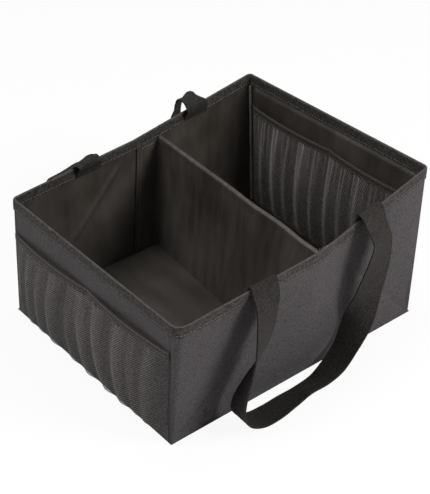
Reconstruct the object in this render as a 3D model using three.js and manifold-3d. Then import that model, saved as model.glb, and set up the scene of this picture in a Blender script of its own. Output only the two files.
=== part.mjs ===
// Open car storage caddy: a soft fabric box on a stiffened floor, with stiffened ends,
// a sewn-in divider, a gathered netting pocket on each end and two webbing handles.
// Millimetres, +Z up, +X towards the right end, -Y towards the front long wall.
// The origin is the middle of the underside.
import * as THREE from 'three';
import Module from 'manifold-3d';

const wasm = await Module();
wasm.setup();

// Overall size of the box
const baseLength = 386;
const baseWidth = 316;
const wallHeight = 200;

// Where each base corner stands off a true rectangle, in x and y
const baseShift = {
  frontLeft: [2, 1],
  frontRight: [-1, 1],
  backRight: [0, 0],
  backLeft: [-4, 2],
};

// How each rim corner leans off the true box, and how far it rises above wallHeight
const rimLean = {
  frontLeft: [0, -18, -13],
  frontRight: [11, 5, 17],
  backRight: [-2, 6, 6],
  backLeft: [-4, -12, -17],
};

// The folding kink in the middle of each long rim: its x, its lean in y and its rise
const rimKink = {
  front: [14, -16.5, -7],
  back: [-12, -5, -13],
};

// Corner radii of the outer face, at the foot and at the rim
const footRadius = 4;
const rimRadius = {
  frontLeft: 14,
  frontRight: 7,
  backRight: 5,
  backLeft: 7,
};

// Cloth and board thicknesses, and the clearance between touching pieces
const clearance = 0.3;
const canvas = 1.2;
const facing = 0.9;
const endBoardThickness = 2.4;
const floorBoardThickness = 3;

// Diagonal gusset creases of the long walls: depth, spread as a share of half a wall, and
// the stretches below the hem and above the foot over which they fade
const creaseDepth = 3.2;
const creaseSpread = 0.4;
const creaseFade = { foot: 0.1, rim: 0.3 };
const creaseTop = 0.9;

// Hem folded over the rim, and the lap of its two ends at the front kink
const hemCloth = 0.8;
const hemDepth = 15;
const lapThickness = 1.4;
const lapLength = 26;

// Stiff ends: the board's foot, the lining's margin at the corners and its slope off the board
const boardFoot = 4;
const liningMargin = 3.8;
const liningSlope = 5;

// Play of the floor pieces between the walls
const floorPlay = 1.2;

// Seam binding inside the four corners
const bindingRadius = 2.3;

// Divider: x at its foot and at its top edge, and how far its top lies below the rim
const dividerFoot = { back: 23, front: 3 };
const dividerTop = { back: 30, front: 21 };
const dividerDrop = { back: 13, front: 12 };
const dividerBoardThickness = 2.4;
const flangeWidth = 33;
const flangeOverlap = 12;
const flangeBend = 2.2;
const flangeThickness = 1.1;
const flangePlay = 0.6;
const rippleHeight = 1.1;

// Netting pockets: drop of the elastic below the rim at the two seams, how far it stands off
// the end, the belly of the netting, and the height of its foot above the walls' foot
const outerPocket = { side: 'left', inside: false, drop: [49.5, 41], stand: 5.4, belly: 9, lift: 1.5 };
const innerPocket = { side: 'right', inside: true, drop: [48, 43], stand: 5.4, belly: 8, lift: 5 };
const elasticHeight = 10;
const elasticThickness = 1.6;
const netThickness = 1;
const pocketMargin = 1;

// Gathers of the netting: share along the elastic, share along the foot, height, half width
const outerGathers = [
  [0.06, 0.05, 2.6, 0.022],
  [0.13, 0.12, 3.4, 0.024],
  [0.21, 0.19, 2.8, 0.026],
  [0.3, 0.28, 3.6, 0.03],
  [0.41, 0.42, 2.6, 0.026],
  [0.47, 0.53, 4.2, 0.03],
  [0.57, 0.65, 4.8, 0.03],
  [0.72, 0.74, 4.4, 0.03],
  [0.81, 0.82, 2.4, 0.026],
  [0.9, 0.88, 3, 0.026],
];
const innerGathers = [
  [0.05, 0.04, 2.6, 0.022],
  [0.12, 0.1, 3.2, 0.022],
  [0.2, 0.19, 2.6, 0.022],
  [0.29, 0.27, 3.4, 0.026],
  [0.38, 0.37, 2.8, 0.024],
  [0.46, 0.46, 3.4, 0.024],
  [0.55, 0.56, 3, 0.022],
  [0.63, 0.65, 3.8, 0.026],
  [0.72, 0.74, 2.6, 0.024],
  [0.8, 0.82, 3.6, 0.026],
  [0.89, 0.91, 2.8, 0.024],
];

// Webbing handles: the strap, and the x of its left and right foot on each long wall
const strapWidth = 37;
const strapThickness = 1.8;
const handleFeet = {
  front: { left: -74, right: 94 },
  back: { left: -84, right: 91 },
};

// How high the strap's left and right edges arch over the rim at each foot
const handleArch = {
  front: { left: [2, 1], right: [9, 5] },
  back: { left: [13, 6], right: [19, 4] },
};

// Materials
function cloth(name, color, roughness) {
  const material = new THREE.MeshStandardMaterial({ color, roughness, metalness: 0 });
  material.name = name;
  return material;
}
const wovenCloth = cloth('woven_cloth', 0x4a4648, 0.9);
const coatedCloth = cloth('coated_cloth', 0x2b2825, 0.45);
const hemBinding = cloth('hem_cloth', 0x56525a, 0.92);
const seamTape = cloth('seam_tape', 0x5b5754, 0.85);
const webbing = cloth('webbing', 0x302d2b, 0.8);
const netting = cloth('netting', 0x3a3638, 0.85);
const elasticTape = cloth('elastic', 0x33302d, 0.8);
const boardStock = cloth('board', 0x5a5a58, 0.7);

// The walls as one shell: foot and rim corners, going round from the front left
const wallFoot = canvas + clearance;
const ringOrder = ['frontLeft', 'front', 'frontRight', 'backRight', 'back', 'backLeft'];
const footPoints = {};
const rimPoints = {};

function placeCorner(name, signX, signY) {
  const x = signX * baseLength / 2;
  const y = signY * baseWidth / 2;
  const [shiftX, shiftY] = baseShift[name];
  const [leanX, leanY, rise] = rimLean[name];
  footPoints[name] = new THREE.Vector3(x + shiftX, y + shiftY, wallFoot);
  rimPoints[name] = new THREE.Vector3(x + leanX, y + leanY, wallHeight + rise);
}

function placeKink(side, signY, left, right) {
  const [x, leanY, rise] = rimKink[side];
  footPoints[side] = footPoints[left].clone().lerp(footPoints[right], 0.5);
  rimPoints[side] = new THREE.Vector3(x, signY * baseWidth / 2 + leanY, wallHeight + rise);
}

placeCorner('frontLeft', -1, -1);
placeCorner('frontRight', 1, -1);
placeCorner('backRight', 1, 1);
placeCorner('backLeft', -1, 1);
placeKink('front', -1, 'frontLeft', 'frontRight');
placeKink('back', 1, 'backLeft', 'backRight');

// Each side runs from one corner to the next, counterclockwise seen from above
const sideEnds = {
  front: ['frontLeft', 'frontRight'],
  right: ['frontRight', 'backRight'],
  back: ['backRight', 'backLeft'],
  left: ['backLeft', 'frontLeft'],
};
const cornerShare = 0.05;

function smooth(value) {
  const t = Math.min(1, Math.max(0, value));
  return t * t * (3 - 2 * t);
}

function mix(a, b, share) {
  return a + (b - a) * share;
}

// A value that passes evenly through a list of stops as share goes from 0 to 1
function through(stops, share) {
  const place = Math.min(1, Math.max(0, share)) * (stops.length - 1);
  const low = Math.min(stops.length - 2, Math.floor(place));
  return mix(stops[low], stops[low + 1], place - low);
}

function flat(vector) {
  return new THREE.Vector3(vector.x, vector.y, 0);
}

function atLevel(name, level) {
  return footPoints[name].clone().lerp(rimPoints[name], level);
}

// One rounded corner of the outer face at a level from 0 at the foot to 1 at the rim
function roundCorner(name, level) {
  const place = ringOrder.indexOf(name);
  const here = atLevel(name, level);
  const before = atLevel(ringOrder[(place + 5) % 6], level);
  const after = atLevel(ringOrder[(place + 1) % 6], level);
  const toBefore = flat(before.sub(here)).normalize();
  const toAfter = flat(after.sub(here)).normalize();
  const angle = toBefore.angleTo(toAfter);
  const radius = mix(footRadius, rimRadius[name], level * level);
  const centre = here.clone()
    .addScaledVector(toBefore, radius / Math.sin(angle))
    .addScaledVector(toAfter, radius / Math.sin(angle));
  const reach = radius / Math.tan(angle / 2);
  const entry = here.clone().addScaledVector(toBefore, reach);
  const exit = here.clone().addScaledVector(toAfter, reach);
  const outward = flat(here.clone().sub(centre)).normalize();
  return { centre, radius, entry, exit, outward, toBefore, toAfter };
}

// A point of the corner's arc, from its entry at 0 to its exit at 1
function onArc(corner, share, inset) {
  const first = flat(corner.entry.clone().sub(corner.centre)).normalize();
  const last = flat(corner.exit.clone().sub(corner.centre)).normalize();
  const turn = first.angleTo(last) * share;
  const direction = first.applyAxisAngle(new THREE.Vector3(0, 0, 1), turn);
  return corner.centre.clone().addScaledVector(direction, corner.radius - inset);
}

function inwardOf(from, to) {
  const along = flat(to.clone().sub(from)).normalize();
  return new THREE.Vector3(-along.y, along.x, 0);
}

// The crease runs from the rim's kink down to each foot corner and dents the wall inwards
function creaseInset(share, level) {
  const ridge = Math.max(0, 1 - Math.abs(share - level) / creaseSpread);
  const fade = Math.min(1, level / creaseFade.foot, (creaseTop - level) / creaseFade.rim);
  return creaseDepth * ridge * Math.max(0, fade);
}

function longWallPoint(side, u, level, inset) {
  const first = roundCorner(sideEnds[side][0], level);
  const last = roundCorner(sideEnds[side][1], level);
  if (u <= cornerShare) {
    return onArc(first, u / cornerShare, inset);
  }
  if (u >= 1 - cornerShare) {
    return onArc(last, (u - 1 + cornerShare) / cornerShare, inset);
  }
  const kink = atLevel(side, level);
  const inFirst = inwardOf(first.exit, kink);
  const inLast = inwardOf(kink, last.entry);
  const mitre = inFirst.clone().add(inLast).normalize();
  mitre.divideScalar(mitre.dot(inFirst));
  const half = 0.5 - cornerShare;
  const onFirst = u < 0.5;
  const share = onFirst ? (u - cornerShare) / half : (1 - cornerShare - u) / half;
  const end = onFirst ? first.exit : last.entry;
  const endInward = onFirst ? inFirst : inLast;
  const depth = inset + creaseInset(share, level);
  const from = end.clone().addScaledVector(endInward, depth);
  return from.lerp(kink.addScaledVector(mitre, depth), share);
}

function endWallPoint(side, u, level, inset, margin) {
  const first = roundCorner(sideEnds[side][0], level);
  const last = roundCorner(sideEnds[side][1], level);
  const from = first.exit.clone().addScaledVector(first.toAfter, margin);
  const to = last.entry.clone().addScaledVector(last.toBefore, margin);
  const inward = inwardOf(from, to);
  return from.lerp(to, u).addScaledVector(inward, inset);
}

function isLong(side) {
  return side === 'front' || side === 'back';
}

// A point of the shell: u runs along the side, inset is measured inwards from the outer face
function shell(side, u, level, inset, margin = 0) {
  if (isLong(side)) {
    return longWallPoint(side, u, level, inset);
  }
  return endWallPoint(side, u, level, inset, margin);
}

// The level that lies a given drop below the rim, and the one at a given height
function levelBelow(side, u, drop) {
  return 1 - drop / (shell(side, u, 1, 0).z - wallFoot);
}

function levelAt(side, u, height) {
  return (height - wallFoot) / (shell(side, u, 1, 0).z - wallFoot);
}

// The point of a long wall at a given x and height
function longWallAt(side, x, height, inset) {
  let low = 0;
  let high = 1;
  const rising = side === 'front' ? 1 : -1;
  for (let step = 0; step < 30; step += 1) {
    const u = (low + high) / 2;
    const point = shell(side, u, levelAt(side, u, height), inset);
    if ((point.x - x) * rising < 0) {
      low = u;
    } else {
      high = u;
    }
  }
  const u = (low + high) / 2;
  return shell(side, u, levelAt(side, u, height), inset);
}

// Height of the long wall's rim at a given x
function rimHeightAt(side, x) {
  const kink = rimPoints[side];
  const left = rimPoints[side + 'Left'];
  const right = rimPoints[side + 'Right'];
  const end = x < kink.x ? left : right;
  return mix(kink.z, end.z, (x - kink.x) / (end.x - kink.x));
}

// A closed sheet: place(u, v, w) gives its points, w from 0 to 1 through the thickness
function sheet(alongCells, acrossCells, place) {
  const geometry = new THREE.BoxGeometry(1, 1, 1, alongCells, acrossCells, 1);
  const position = geometry.attributes.position;
  const flatPlaces = [];
  for (let i = 0; i < position.count; i += 1) {
    flatPlaces.push([position.getX(i) + 0.5, position.getY(i) + 0.5, position.getZ(i) + 0.5]);
  }
  flatPlaces.forEach((spot, i) => {
    const point = place(...spot);
    position.setXYZ(i, point.x, point.y, point.z);
  });
  splitAlongFolds(geometry, flatPlaces, place);
  return facingOut(geometry);
}

// Each cell is split along the diagonal that lies closer to the true surface
function splitAlongFolds(geometry, flatPlaces, place) {
  const index = geometry.index;
  const position = geometry.attributes.position;
  const error = (a, b) => {
    const between = new THREE.Vector3().fromBufferAttribute(position, a);
    between.lerp(new THREE.Vector3().fromBufferAttribute(position, b), 0.5);
    const middle = flatPlaces[a].map((value, k) => (value + flatPlaces[b][k]) / 2);
    return between.distanceTo(place(...middle));
  };
  for (let k = 0; k < index.count; k += 6) {
    const a = index.getX(k);
    const b = index.getX(k + 1);
    const d = index.getX(k + 2);
    const c = index.getX(k + 4);
    if (error(a, c) < error(b, d) - 0.001) {
      [a, b, c, a, c, d].forEach((vertex, n) => index.setX(k + n, vertex));
    }
  }
}

// A closed ring with a closed section: place(station, spot) gives its points
function ring(stationCount, spotCount, place) {
  const geometry = new THREE.TorusGeometry(2, 1, spotCount, stationCount);
  const position = geometry.attributes.position;
  for (let i = 0; i < position.count; i += 1) {
    const station = i % (stationCount + 1) % stationCount;
    const spot = Math.floor(i / (stationCount + 1)) % spotCount;
    const point = place(station, spot);
    position.setXYZ(i, point.x, point.y, point.z);
  }
  return facingOut(geometry);
}

function facingOut(geometry) {
  const index = geometry.index;
  const position = geometry.attributes.position;
  const corner = (k) => new THREE.Vector3().fromBufferAttribute(position, index.getX(k));
  let volume = 0;
  for (let k = 0; k < index.count; k += 3) {
    volume += corner(k).dot(corner(k + 1).cross(corner(k + 2)));
  }
  if (volume < 0) {
    for (let k = 0; k < index.count; k += 3) {
      const second = index.getX(k + 1);
      index.setX(k + 1, index.getX(k + 2));
      index.setX(k + 2, second);
    }
  }
  return geometry;
}

// Booleans: into a solid, and back into a geometry
function toSolid(geometry) {
  const source = geometry.index ? geometry.toNonIndexed() : geometry;
  const position = source.attributes.position;
  const lookup = new Map();
  const points = [];
  const triangles = [];
  for (let i = 0; i < position.count; i += 1) {
    const point = [position.getX(i), position.getY(i), position.getZ(i)];
    const key = point.map((value) => Math.round(value * 10000)).join();
    if (!lookup.has(key)) {
      lookup.set(key, points.length / 3);
      points.push(...point);
    }
    triangles.push(lookup.get(key));
  }
  const whole = triangles.filter((vertex, i) => {
    const first = i - i % 3;
    const [a, b, c] = [triangles[first], triangles[first + 1], triangles[first + 2]];
    return a !== b && b !== c && c !== a;
  });
  const mesh = new wasm.Mesh({
    numProp: 3,
    vertProperties: new Float32Array(points),
    triVerts: new Uint32Array(whole),
  });
  return new wasm.Manifold(mesh);
}

function fromSolid(solid) {
  const mesh = solid.getMesh();
  const geometry = new THREE.BufferGeometry();
  geometry.setAttribute('position', new THREE.BufferAttribute(mesh.vertProperties, 3));
  geometry.setIndex(new THREE.BufferAttribute(mesh.triVerts, 1));
  return geometry;
}

const caddy = new THREE.Group();

function add(name, geometry, material) {
  const mesh = new THREE.Mesh(geometry, material);
  mesh.name = name;
  caddy.add(mesh);
  return mesh;
}

// Floor plan of the base, moved in from the ends and from the long sides by set amounts
function floorOutline(endInset, longInset, radius) {
  const shape = new THREE.Shape();
  const names = ['frontLeft', 'frontRight', 'backRight', 'backLeft'];
  names.forEach((name, place) => {
    const corner = roundCorner(name, 0);
    const angle = corner.toBefore.angleTo(corner.toAfter);
    const startsLong = place % 2 === 0;
    const beforeInset = startsLong ? endInset : longInset;
    const afterInset = startsLong ? longInset : endInset;
    const here = footPoints[name].clone()
      .addScaledVector(corner.toBefore, afterInset / Math.sin(angle))
      .addScaledVector(corner.toAfter, beforeInset / Math.sin(angle));
    const entry = here.clone().addScaledVector(corner.toBefore, radius);
    const exit = here.clone().addScaledVector(corner.toAfter, radius);
    if (place === 0) {
      shape.moveTo(entry.x, entry.y);
    } else {
      shape.lineTo(entry.x, entry.y);
    }
    shape.quadraticCurveTo(here.x, here.y, exit.x, exit.y);
  });
  shape.closePath();
  return shape;
}

function floorSheet(endInset, longInset, radius, low, thickness) {
  const shape = floorOutline(endInset, longInset, radius);
  const settings = { depth: thickness, bevelEnabled: false, curveSegments: 4 };
  return new THREE.ExtrudeGeometry(shape, settings).translate(0, 0, low);
}

// Base panel, floor board, and the coated cover folded down over the board's edges
const liningShallow = facing + clearance;
const liningDeep = liningShallow + endBoardThickness + clearance;
const coverEndInset = liningDeep + facing + floorPlay;
const coverLongInset = canvas + floorPlay;
const boardInset = facing + clearance;
const boardTop = wallFoot + floorBoardThickness;
const coverTop = boardTop + clearance + facing;

function coverGeometry() {
  const outside = floorSheet(coverEndInset, coverLongInset, 3, wallFoot, coverTop - wallFoot);
  const inside = floorSheet(
    coverEndInset + facing,
    coverLongInset + facing,
    2.4,
    wallFoot - 1,
    boardTop + clearance - wallFoot + 1,
  );
  return fromSolid(toSolid(outside).subtract(toSolid(inside)));
}

function boardGeometry() {
  const endInset = coverEndInset + boardInset;
  const longInset = coverLongInset + boardInset;
  return floorSheet(endInset, longInset, 2, wallFoot, floorBoardThickness);
}

add('base_outer', floorSheet(0, 0, footRadius, 0, canvas), wovenCloth);
add('floor_board', boardGeometry(), boardStock);
add('floor_cover', coverGeometry(), coatedCloth);

// Long walls: one coated canvas each, carried round the corners to the end seams
const hemRoof = hemCloth + clearance;
const wallCells = 10;
const arcCells = 4;

// Grid lines of a long wall: a few on each corner arc, the rest evenly on both halves
function longWallShare(line) {
  const total = 2 * (wallCells + arcCells);
  const mirrored = line > total / 2;
  const step = mirrored ? total - line : line;
  const share = step <= arcCells
    ? cornerShare * step / arcCells
    : mix(cornerShare, 0.5, (step - arcCells) / wallCells);
  return mirrored ? 1 - share : share;
}

function longWallGeometry(side) {
  const columns = 2 * (wallCells + arcCells);
  return sheet(columns, wallCells, (u, v, w) => {
    const share = longWallShare(u * columns);
    const top = levelBelow(side, share, hemRoof);
    return shell(side, share, Math.min(v, top), canvas * w);
  });
}

add('front_wall', longWallGeometry('front'), wovenCloth);
add('back_wall', longWallGeometry('back'), wovenCloth);

// Stiff ends: woven panel outside, board, and a coated lining dished over the board
const dishDrop = hemDepth + clearance;
const boardDrop = dishDrop + liningSlope;
const boardMargin = liningMargin + liningSlope;

// Inset of the lining's back: shallow at the seams and under the hem, deep over the board
function liningInset(edge, drop) {
  const rise = Math.min(edge, drop - dishDrop) / liningSlope;
  return mix(liningShallow, liningDeep, smooth(rise));
}

// Width of an end between the lining's edges
function endSpan(side) {
  const from = shell(side, 0, 0.5, 0, liningMargin);
  return from.distanceTo(shell(side, 1, 0.5, 0, liningMargin));
}

// Grid lines across an end: close together on the slope at each seam, even between
function endLines(side, cells) {
  const slope = liningSlope / endSpan(side);
  const lines = [0, slope / 2];
  for (let line = 0; line <= cells - 4; line += 1) {
    lines.push(mix(slope, 1 - slope, line / (cells - 4)));
  }
  return [...lines, 1 - slope / 2, 1];
}

function endPanelGeometry(side) {
  return sheet(8, 6, (u, v, w) => {
    const top = levelBelow(side, u, hemRoof);
    return shell(side, u, v * top, facing * w, clearance);
  });
}

function endBoardGeometry(side) {
  return sheet(4, 4, (u, v, w) => {
    const low = levelAt(side, u, wallFoot + boardFoot);
    const high = levelBelow(side, u, boardDrop);
    const inset = facing + clearance + endBoardThickness * w;
    return shell(side, u, mix(low, high, v), inset, boardMargin);
  });
}

// The lining's levels: even up to the board's top, then close together on the slope
function liningLevels(side, along) {
  const boardTopLevel = levelBelow(side, along, boardDrop);
  const even = [0, 0.25, 0.5, 0.75].map((share) => share * boardTopLevel);
  const drops = [boardDrop, (boardDrop + dishDrop) / 2, dishDrop, hemRoof];
  return [...even, ...drops.map((drop) => levelBelow(side, along, drop))];
}

function endLiningGeometry(side) {
  const columns = endLines(side, 12);
  const span = endSpan(side);
  return sheet(12, 7, (u, v, w) => {
    const along = through(columns, u);
    const level = through(liningLevels(side, along), v);
    const drop = (1 - level) * (shell(side, along, 1, 0).z - wallFoot);
    const inset = liningInset(Math.min(along, 1 - along) * span, drop) + facing * w;
    return shell(side, along, level, inset, liningMargin);
  });
}

for (const side of ['left', 'right']) {
  add(side + '_end_outer', endPanelGeometry(side), wovenCloth);
  add(side + '_end_board', endBoardGeometry(side), boardStock);
  add(side + '_end_lining', endLiningGeometry(side), coatedCloth);
}

// Seam bindings: a rolled tape up the inside of each corner, from the floor to the hem
function bindingGeometry(name) {
  const rim = rimPoints[name].z;
  const low = coverTop + clearance;
  const high = rim - hemDepth - 1;
  const points = [];
  for (let step = 0; step <= 4; step += 1) {
    const height = mix(low, high, step / 4);
    const corner = roundCorner(name, (height - wallFoot) / (rim - wallFoot));
    const reach = corner.radius - canvas - clearance - bindingRadius;
    const point = corner.centre.clone().addScaledVector(corner.outward, reach);
    points.push(new THREE.Vector3(point.x, point.y, height));
  }
  const section = new THREE.Shape();
  section.absarc(0, 0, bindingRadius, 0, 2 * Math.PI);
  return new THREE.ExtrudeGeometry(section, {
    steps: 6,
    curveSegments: 4,
    extrudePath: new THREE.CatmullRomCurve3(points),
  });
}

add('seam_binding_front_left', bindingGeometry('frontLeft'), seamTape);
add('seam_binding_front_right', bindingGeometry('frontRight'), seamTape);
add('seam_binding_back_right', bindingGeometry('backRight'), seamTape);
add('seam_binding_back_left', bindingGeometry('backLeft'), seamTape);

// Rim hem: one strip folded over the top edge all the way round
const endLayers = facing + clearance + facing;

function hemStations() {
  const stations = [];
  for (const side of ['front', 'right', 'back', 'left']) {
    if (isLong(side)) {
      const lines = 2 * (wallCells + arcCells);
      for (let line = 0; line <= lines; line += 1) {
        stations.push([side, longWallShare(line)]);
      }
    } else {
      for (let step = 1; step < 6; step += 1) {
        stations.push([side, step / 6]);
      }
    }
  }
  return stations;
}

// Thickness of the layers inside the hem: one canvas on the long sides, two facings at the ends
function hemFilling(side, u) {
  if (!isLong(side)) {
    return endLayers;
  }
  const edge = Math.min(u, 1 - u) / cornerShare;
  return mix(endLayers, canvas, smooth(edge));
}

// The hem's section as inset and drop: outer flap, rounded top, inner flap, then the inside
function hemSection(filling, lap) {
  const outer = -clearance - hemCloth;
  const inner = filling + clearance + hemCloth;
  const middle = (outer + inner) / 2;
  const half = (inner - outer) / 2;
  return [
    [outer - lap, hemDepth],
    [outer - lap, half],
    [middle - half * 0.7 - lap * 0.7, half * 0.3 - lap * 0.4],
    [middle, -lap * 0.5],
    [middle + half * 0.7, half * 0.3],
    [inner, half],
    [inner, hemDepth],
    [inner - hemCloth, hemDepth],
    [inner - hemCloth, hemCloth],
    [outer + hemCloth, hemCloth],
    [outer + hemCloth, hemDepth],
  ];
}

function hemGeometry() {
  const stations = hemStations();
  const spots = hemSection(canvas, 0).length;
  return ring(stations.length, spots, (station, spot) => {
    const [side, u] = stations[station];
    const kinkDistance = shell(side, u, 1, 0).distanceTo(rimPoints.front);
    const lap = lapThickness * smooth(2 - 2 * kinkDistance / lapLength);
    const [inset, drop] = hemSection(hemFilling(side, u), lap)[spot];
    return shell(side, u, levelBelow(side, u, drop), inset);
  });
}

add('rim_hem', hemGeometry(), hemBinding);

// Divider: a board in a folded sleeve, whose ends turn into flanges sewn to the long walls
const sleeveHalf = dividerBoardThickness / 2 + clearance + facing / 2;
const dividerLow = coverTop + clearance;
const dividerEndInset = canvas + clearance + hemCloth + 2 * clearance;

function dividerHeight(side) {
  return rimHeightAt(side, dividerTop[side]) - dividerDrop[side];
}

// A point of the divider's middle plane: share from the back to the front, rise from 0 to 1
function dividerPoint(share, rise) {
  const ends = ['back', 'front'].map((side) => {
    const x = mix(dividerFoot[side], dividerTop[side], rise);
    const height = mix(dividerLow, dividerHeight(side), rise);
    return longWallAt(side, x, height, dividerEndInset);
  });
  const point = ends[0].lerp(ends[1], share);
  point.x += ripple(share) * rise;
  return point;
}

// Soft ripples of the divider, strongest in its front half and gone at its ends
function ripple(share) {
  const swell = smooth(share * 1.6 - 0.3) * smooth((1 - share) * 8);
  return rippleHeight * Math.sin(share * 6 * Math.PI) * swell;
}

const dividerLength = baseWidth - 2 * dividerEndInset;
const dividerTall = dividerHeight('back') - dividerLow;
const shoulder = 1 - (sleeveHalf + facing / 2) / dividerTall;
const dividerCells = 14;

// The sleeve: up one leg, over the rounded top and down the other leg
function sleeveGeometry() {
  const legCells = 4;
  const crownCells = 4;
  const columns = 2 * legCells + crownCells;
  return sheet(columns, dividerCells, (u, v, w) => {
    const line = u * columns;
    const turn = Math.PI * Math.min(1, Math.max(0, (line - legCells) / crownCells));
    const leg = Math.min(1, line / legCells, (columns - line) / legCells);
    const radius = sleeveHalf + (w - 0.5) * facing;
    const point = dividerPoint(v, leg * shoulder + radius * Math.sin(turn) / dividerTall);
    point.x -= radius * Math.cos(turn);
    return point;
  });
}

// A flange: along the sleeve's left leg, round a bend and away to the left on the long wall
function flangeGeometry(side) {
  const legCells = 1;
  const bendCells = 3;
  const stripCells = 5;
  const columns = legCells + bendCells + stripCells;
  const outwards = side === 'back' ? 1 : -1;
  const middle = canvas + flangePlay + flangeThickness / 2;
  return sheet(columns, 8, (u, v, w) => {
    const line = u * columns;
    const away = flangeWidth * Math.max(0, line - legCells - bendCells) / stripCells;
    const top = rimHeightAt(side, dividerTop[side] - away) - hemDepth - 2 * clearance;
    const height = mix(dividerLow, top, v);
    const rise = (height - dividerLow) / (dividerHeight(side) - dividerLow);
    const offset = (w - 0.5) * flangeThickness;
    const onSleeve = (distance) => {
      const share = (distance + middle - dividerEndInset) / dividerLength;
      const point = dividerPoint(side === 'back' ? share : 1 - share, rise);
      point.x -= sleeveHalf + flangeThickness - facing;
      point.z = height;
      return point;
    };
    if (line <= legCells) {
      const point = onSleeve(mix(flangeOverlap, flangeBend, line / legCells));
      point.x += offset;
      return point;
    }
    const start = onSleeve(flangeBend);
    start.x -= flangeBend;
    if (line < legCells + bendCells) {
      const turn = Math.PI / 2 * (line - legCells) / bendCells;
      const reach = flangeBend + offset;
      start.x += reach * Math.cos(turn);
      start.y += outwards * reach * Math.sin(turn);
      return start;
    }
    return longWallAt(side, start.x - away, height, middle - offset);
  });
}

function dividerCoverGeometry() {
  const sleeve = toSolid(sleeveGeometry());
  const back = toSolid(flangeGeometry('back'));
  const front = toSolid(flangeGeometry('front'));
  return fromSolid(sleeve.add(back).add(front));
}

function dividerBoardGeometry() {
  const endGap = 1.5 / dividerLength;
  return sheet(4, dividerCells, (u, v, w) => {
    const point = dividerPoint(mix(endGap, 1 - endGap, v), u * shoulder);
    point.x += (w - 0.5) * dividerBoardThickness;
    return point;
  });
}

add('divider_cover', dividerCoverGeometry(), coatedCloth);
add('divider_board', dividerBoardGeometry(), boardStock);

// Netting pockets: the elastic stands off the end wall in two bows, tacked down between them
function elasticStand(u, stand) {
  return clearance + elasticThickness / 2 + stand * Math.abs(Math.sin(2 * Math.PI * u)) ** 0.8;
}

function gatherHeight(u, v, gathers) {
  let height = 0;
  for (const [top, foot, rise, halfWidth] of gathers) {
    const away = (u - mix(foot, top, v)) / halfWidth;
    height += rise * Math.exp(-away * away);
  }
  return height;
}

// How far the netting's middle stands off the wall: v is 0 at the foot and 1 at the elastic
function netStand(u, v, pocket, gathers) {
  const seam = Math.min(1, u / 0.05, (1 - u) / 0.05);
  const profile = Math.sin(Math.PI * mix(0.06, 1, v));
  const belly = pocket.belly * Math.sin(Math.PI * u) ** 0.5 * profile;
  const fold = gatherHeight(u, v, gathers) * mix(0.45, 1, smooth(v * 3)) * mix(1, 0.5, v ** 4);
  const least = 2 * clearance + netThickness / 2;
  const hung = mix(least, elasticStand(u, pocket.stand), smooth(v * 1.1));
  return Math.max(least, hung + (belly + fold) * seam);
}

// A point of a pocket, its stand measured from the end's outside or from the dished lining
function pocketPoint(pocket, u, level, stand) {
  const { side } = pocket;
  if (!pocket.inside) {
    return shell(side, u, level, -stand, pocketMargin);
  }
  const drop = (1 - level) * (shell(side, u, 1, 0).z - wallFoot);
  const edge = pocketMargin + Math.min(u, 1 - u) * endSpan(side);
  const inset = liningInset(edge, drop) + facing + stand;
  return shell(side, u, level, inset, liningMargin + pocketMargin);
}

function elasticGeometry(pocket) {
  const columns = endLines(pocket.side, 28);
  return sheet(28, 1, (u, v, w) => {
    const along = through(columns, u);
    const drop = mix(...pocket.drop, along) + elasticHeight * (1 - v);
    const stand = elasticStand(along, pocket.stand) + (w - 0.5) * elasticThickness;
    return pocketPoint(pocket, along, levelBelow(pocket.side, along, drop), stand);
  });
}

function netGeometry(pocket, gathers) {
  const columns = endLines(pocket.side, 58);
  return sheet(58, 7, (u, v, w) => {
    const along = through(columns, u);
    const drop = mix(...pocket.drop, along) + elasticHeight + clearance;
    const high = levelBelow(pocket.side, along, drop);
    const low = levelAt(pocket.side, along, wallFoot + pocket.lift);
    const stand = netStand(along, v, pocket, gathers) + (w - 0.5) * netThickness;
    return pocketPoint(pocket, along, mix(low, high, v), stand);
  });
}

add('outer_pocket_net', netGeometry(outerPocket, outerGathers), netting);
add('outer_pocket_elastic', elasticGeometry(outerPocket), elasticTape);
add('inner_pocket_net', netGeometry(innerPocket, innerGathers), netting);
add('inner_pocket_elastic', elasticGeometry(innerPocket), elasticTape);

// Webbing handles. Each station of the hanging strap gives its place and how it is turned:
// x from the foot, distance out from the wall's foot, height (a share of the rim's height
// on the legs, millimetres on the ground), turn about the vertical, tip of its far edge
const leftLeg = [
  [-5, 32, 0.874, 10, -12],
  [-11, 36.8, 0.741, 18, -14],
  [-17.6, 38.2, 0.607, 30, -13],
  [-26.4, 36.3, 0.478, 44, -10],
  [-36, 33.3, 0.348, 57, -5],
  [-43, 31.6, 0.22, 72, -1],
];
const groundRun = [
  [-114, 31.7, 20.7, 87, -3],
  [-95.6, 33.2, 7.6, 91, -8],
  [-70.8, 33.3, 4.9, 91, -11],
  [-44.7, 32.5, 6.9, 90, -17],
  [-18.4, 32, 9.3, 89, -25],
  [7.8, 31.9, 11.2, 89, -21],
  [32.3, 29.4, 19.2, 92, -12],
  [53.9, 25.5, 33.7, 94, -10],
];
const rightLeg = [
  [-24, 22.2, 0.258, 108, 1],
  [-14.8, 22.6, 0.362, 144, 13],
  [-9.6, 25.9, 0.484, 165, 12],
  [-5, 29.3, 0.611, 173, 11],
  [-0.4, 31.7, 0.739, 182, 9],
  [3.4, 30.5, 0.865, 192, 9],
];

function across(turn, tip) {
  const yaw = turn * Math.PI / 180;
  const pitch = tip * Math.PI / 180;
  const level = Math.cos(pitch);
  return new THREE.Vector3(level * Math.cos(yaw), level * Math.sin(yaw), Math.sin(pitch));
}

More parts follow.
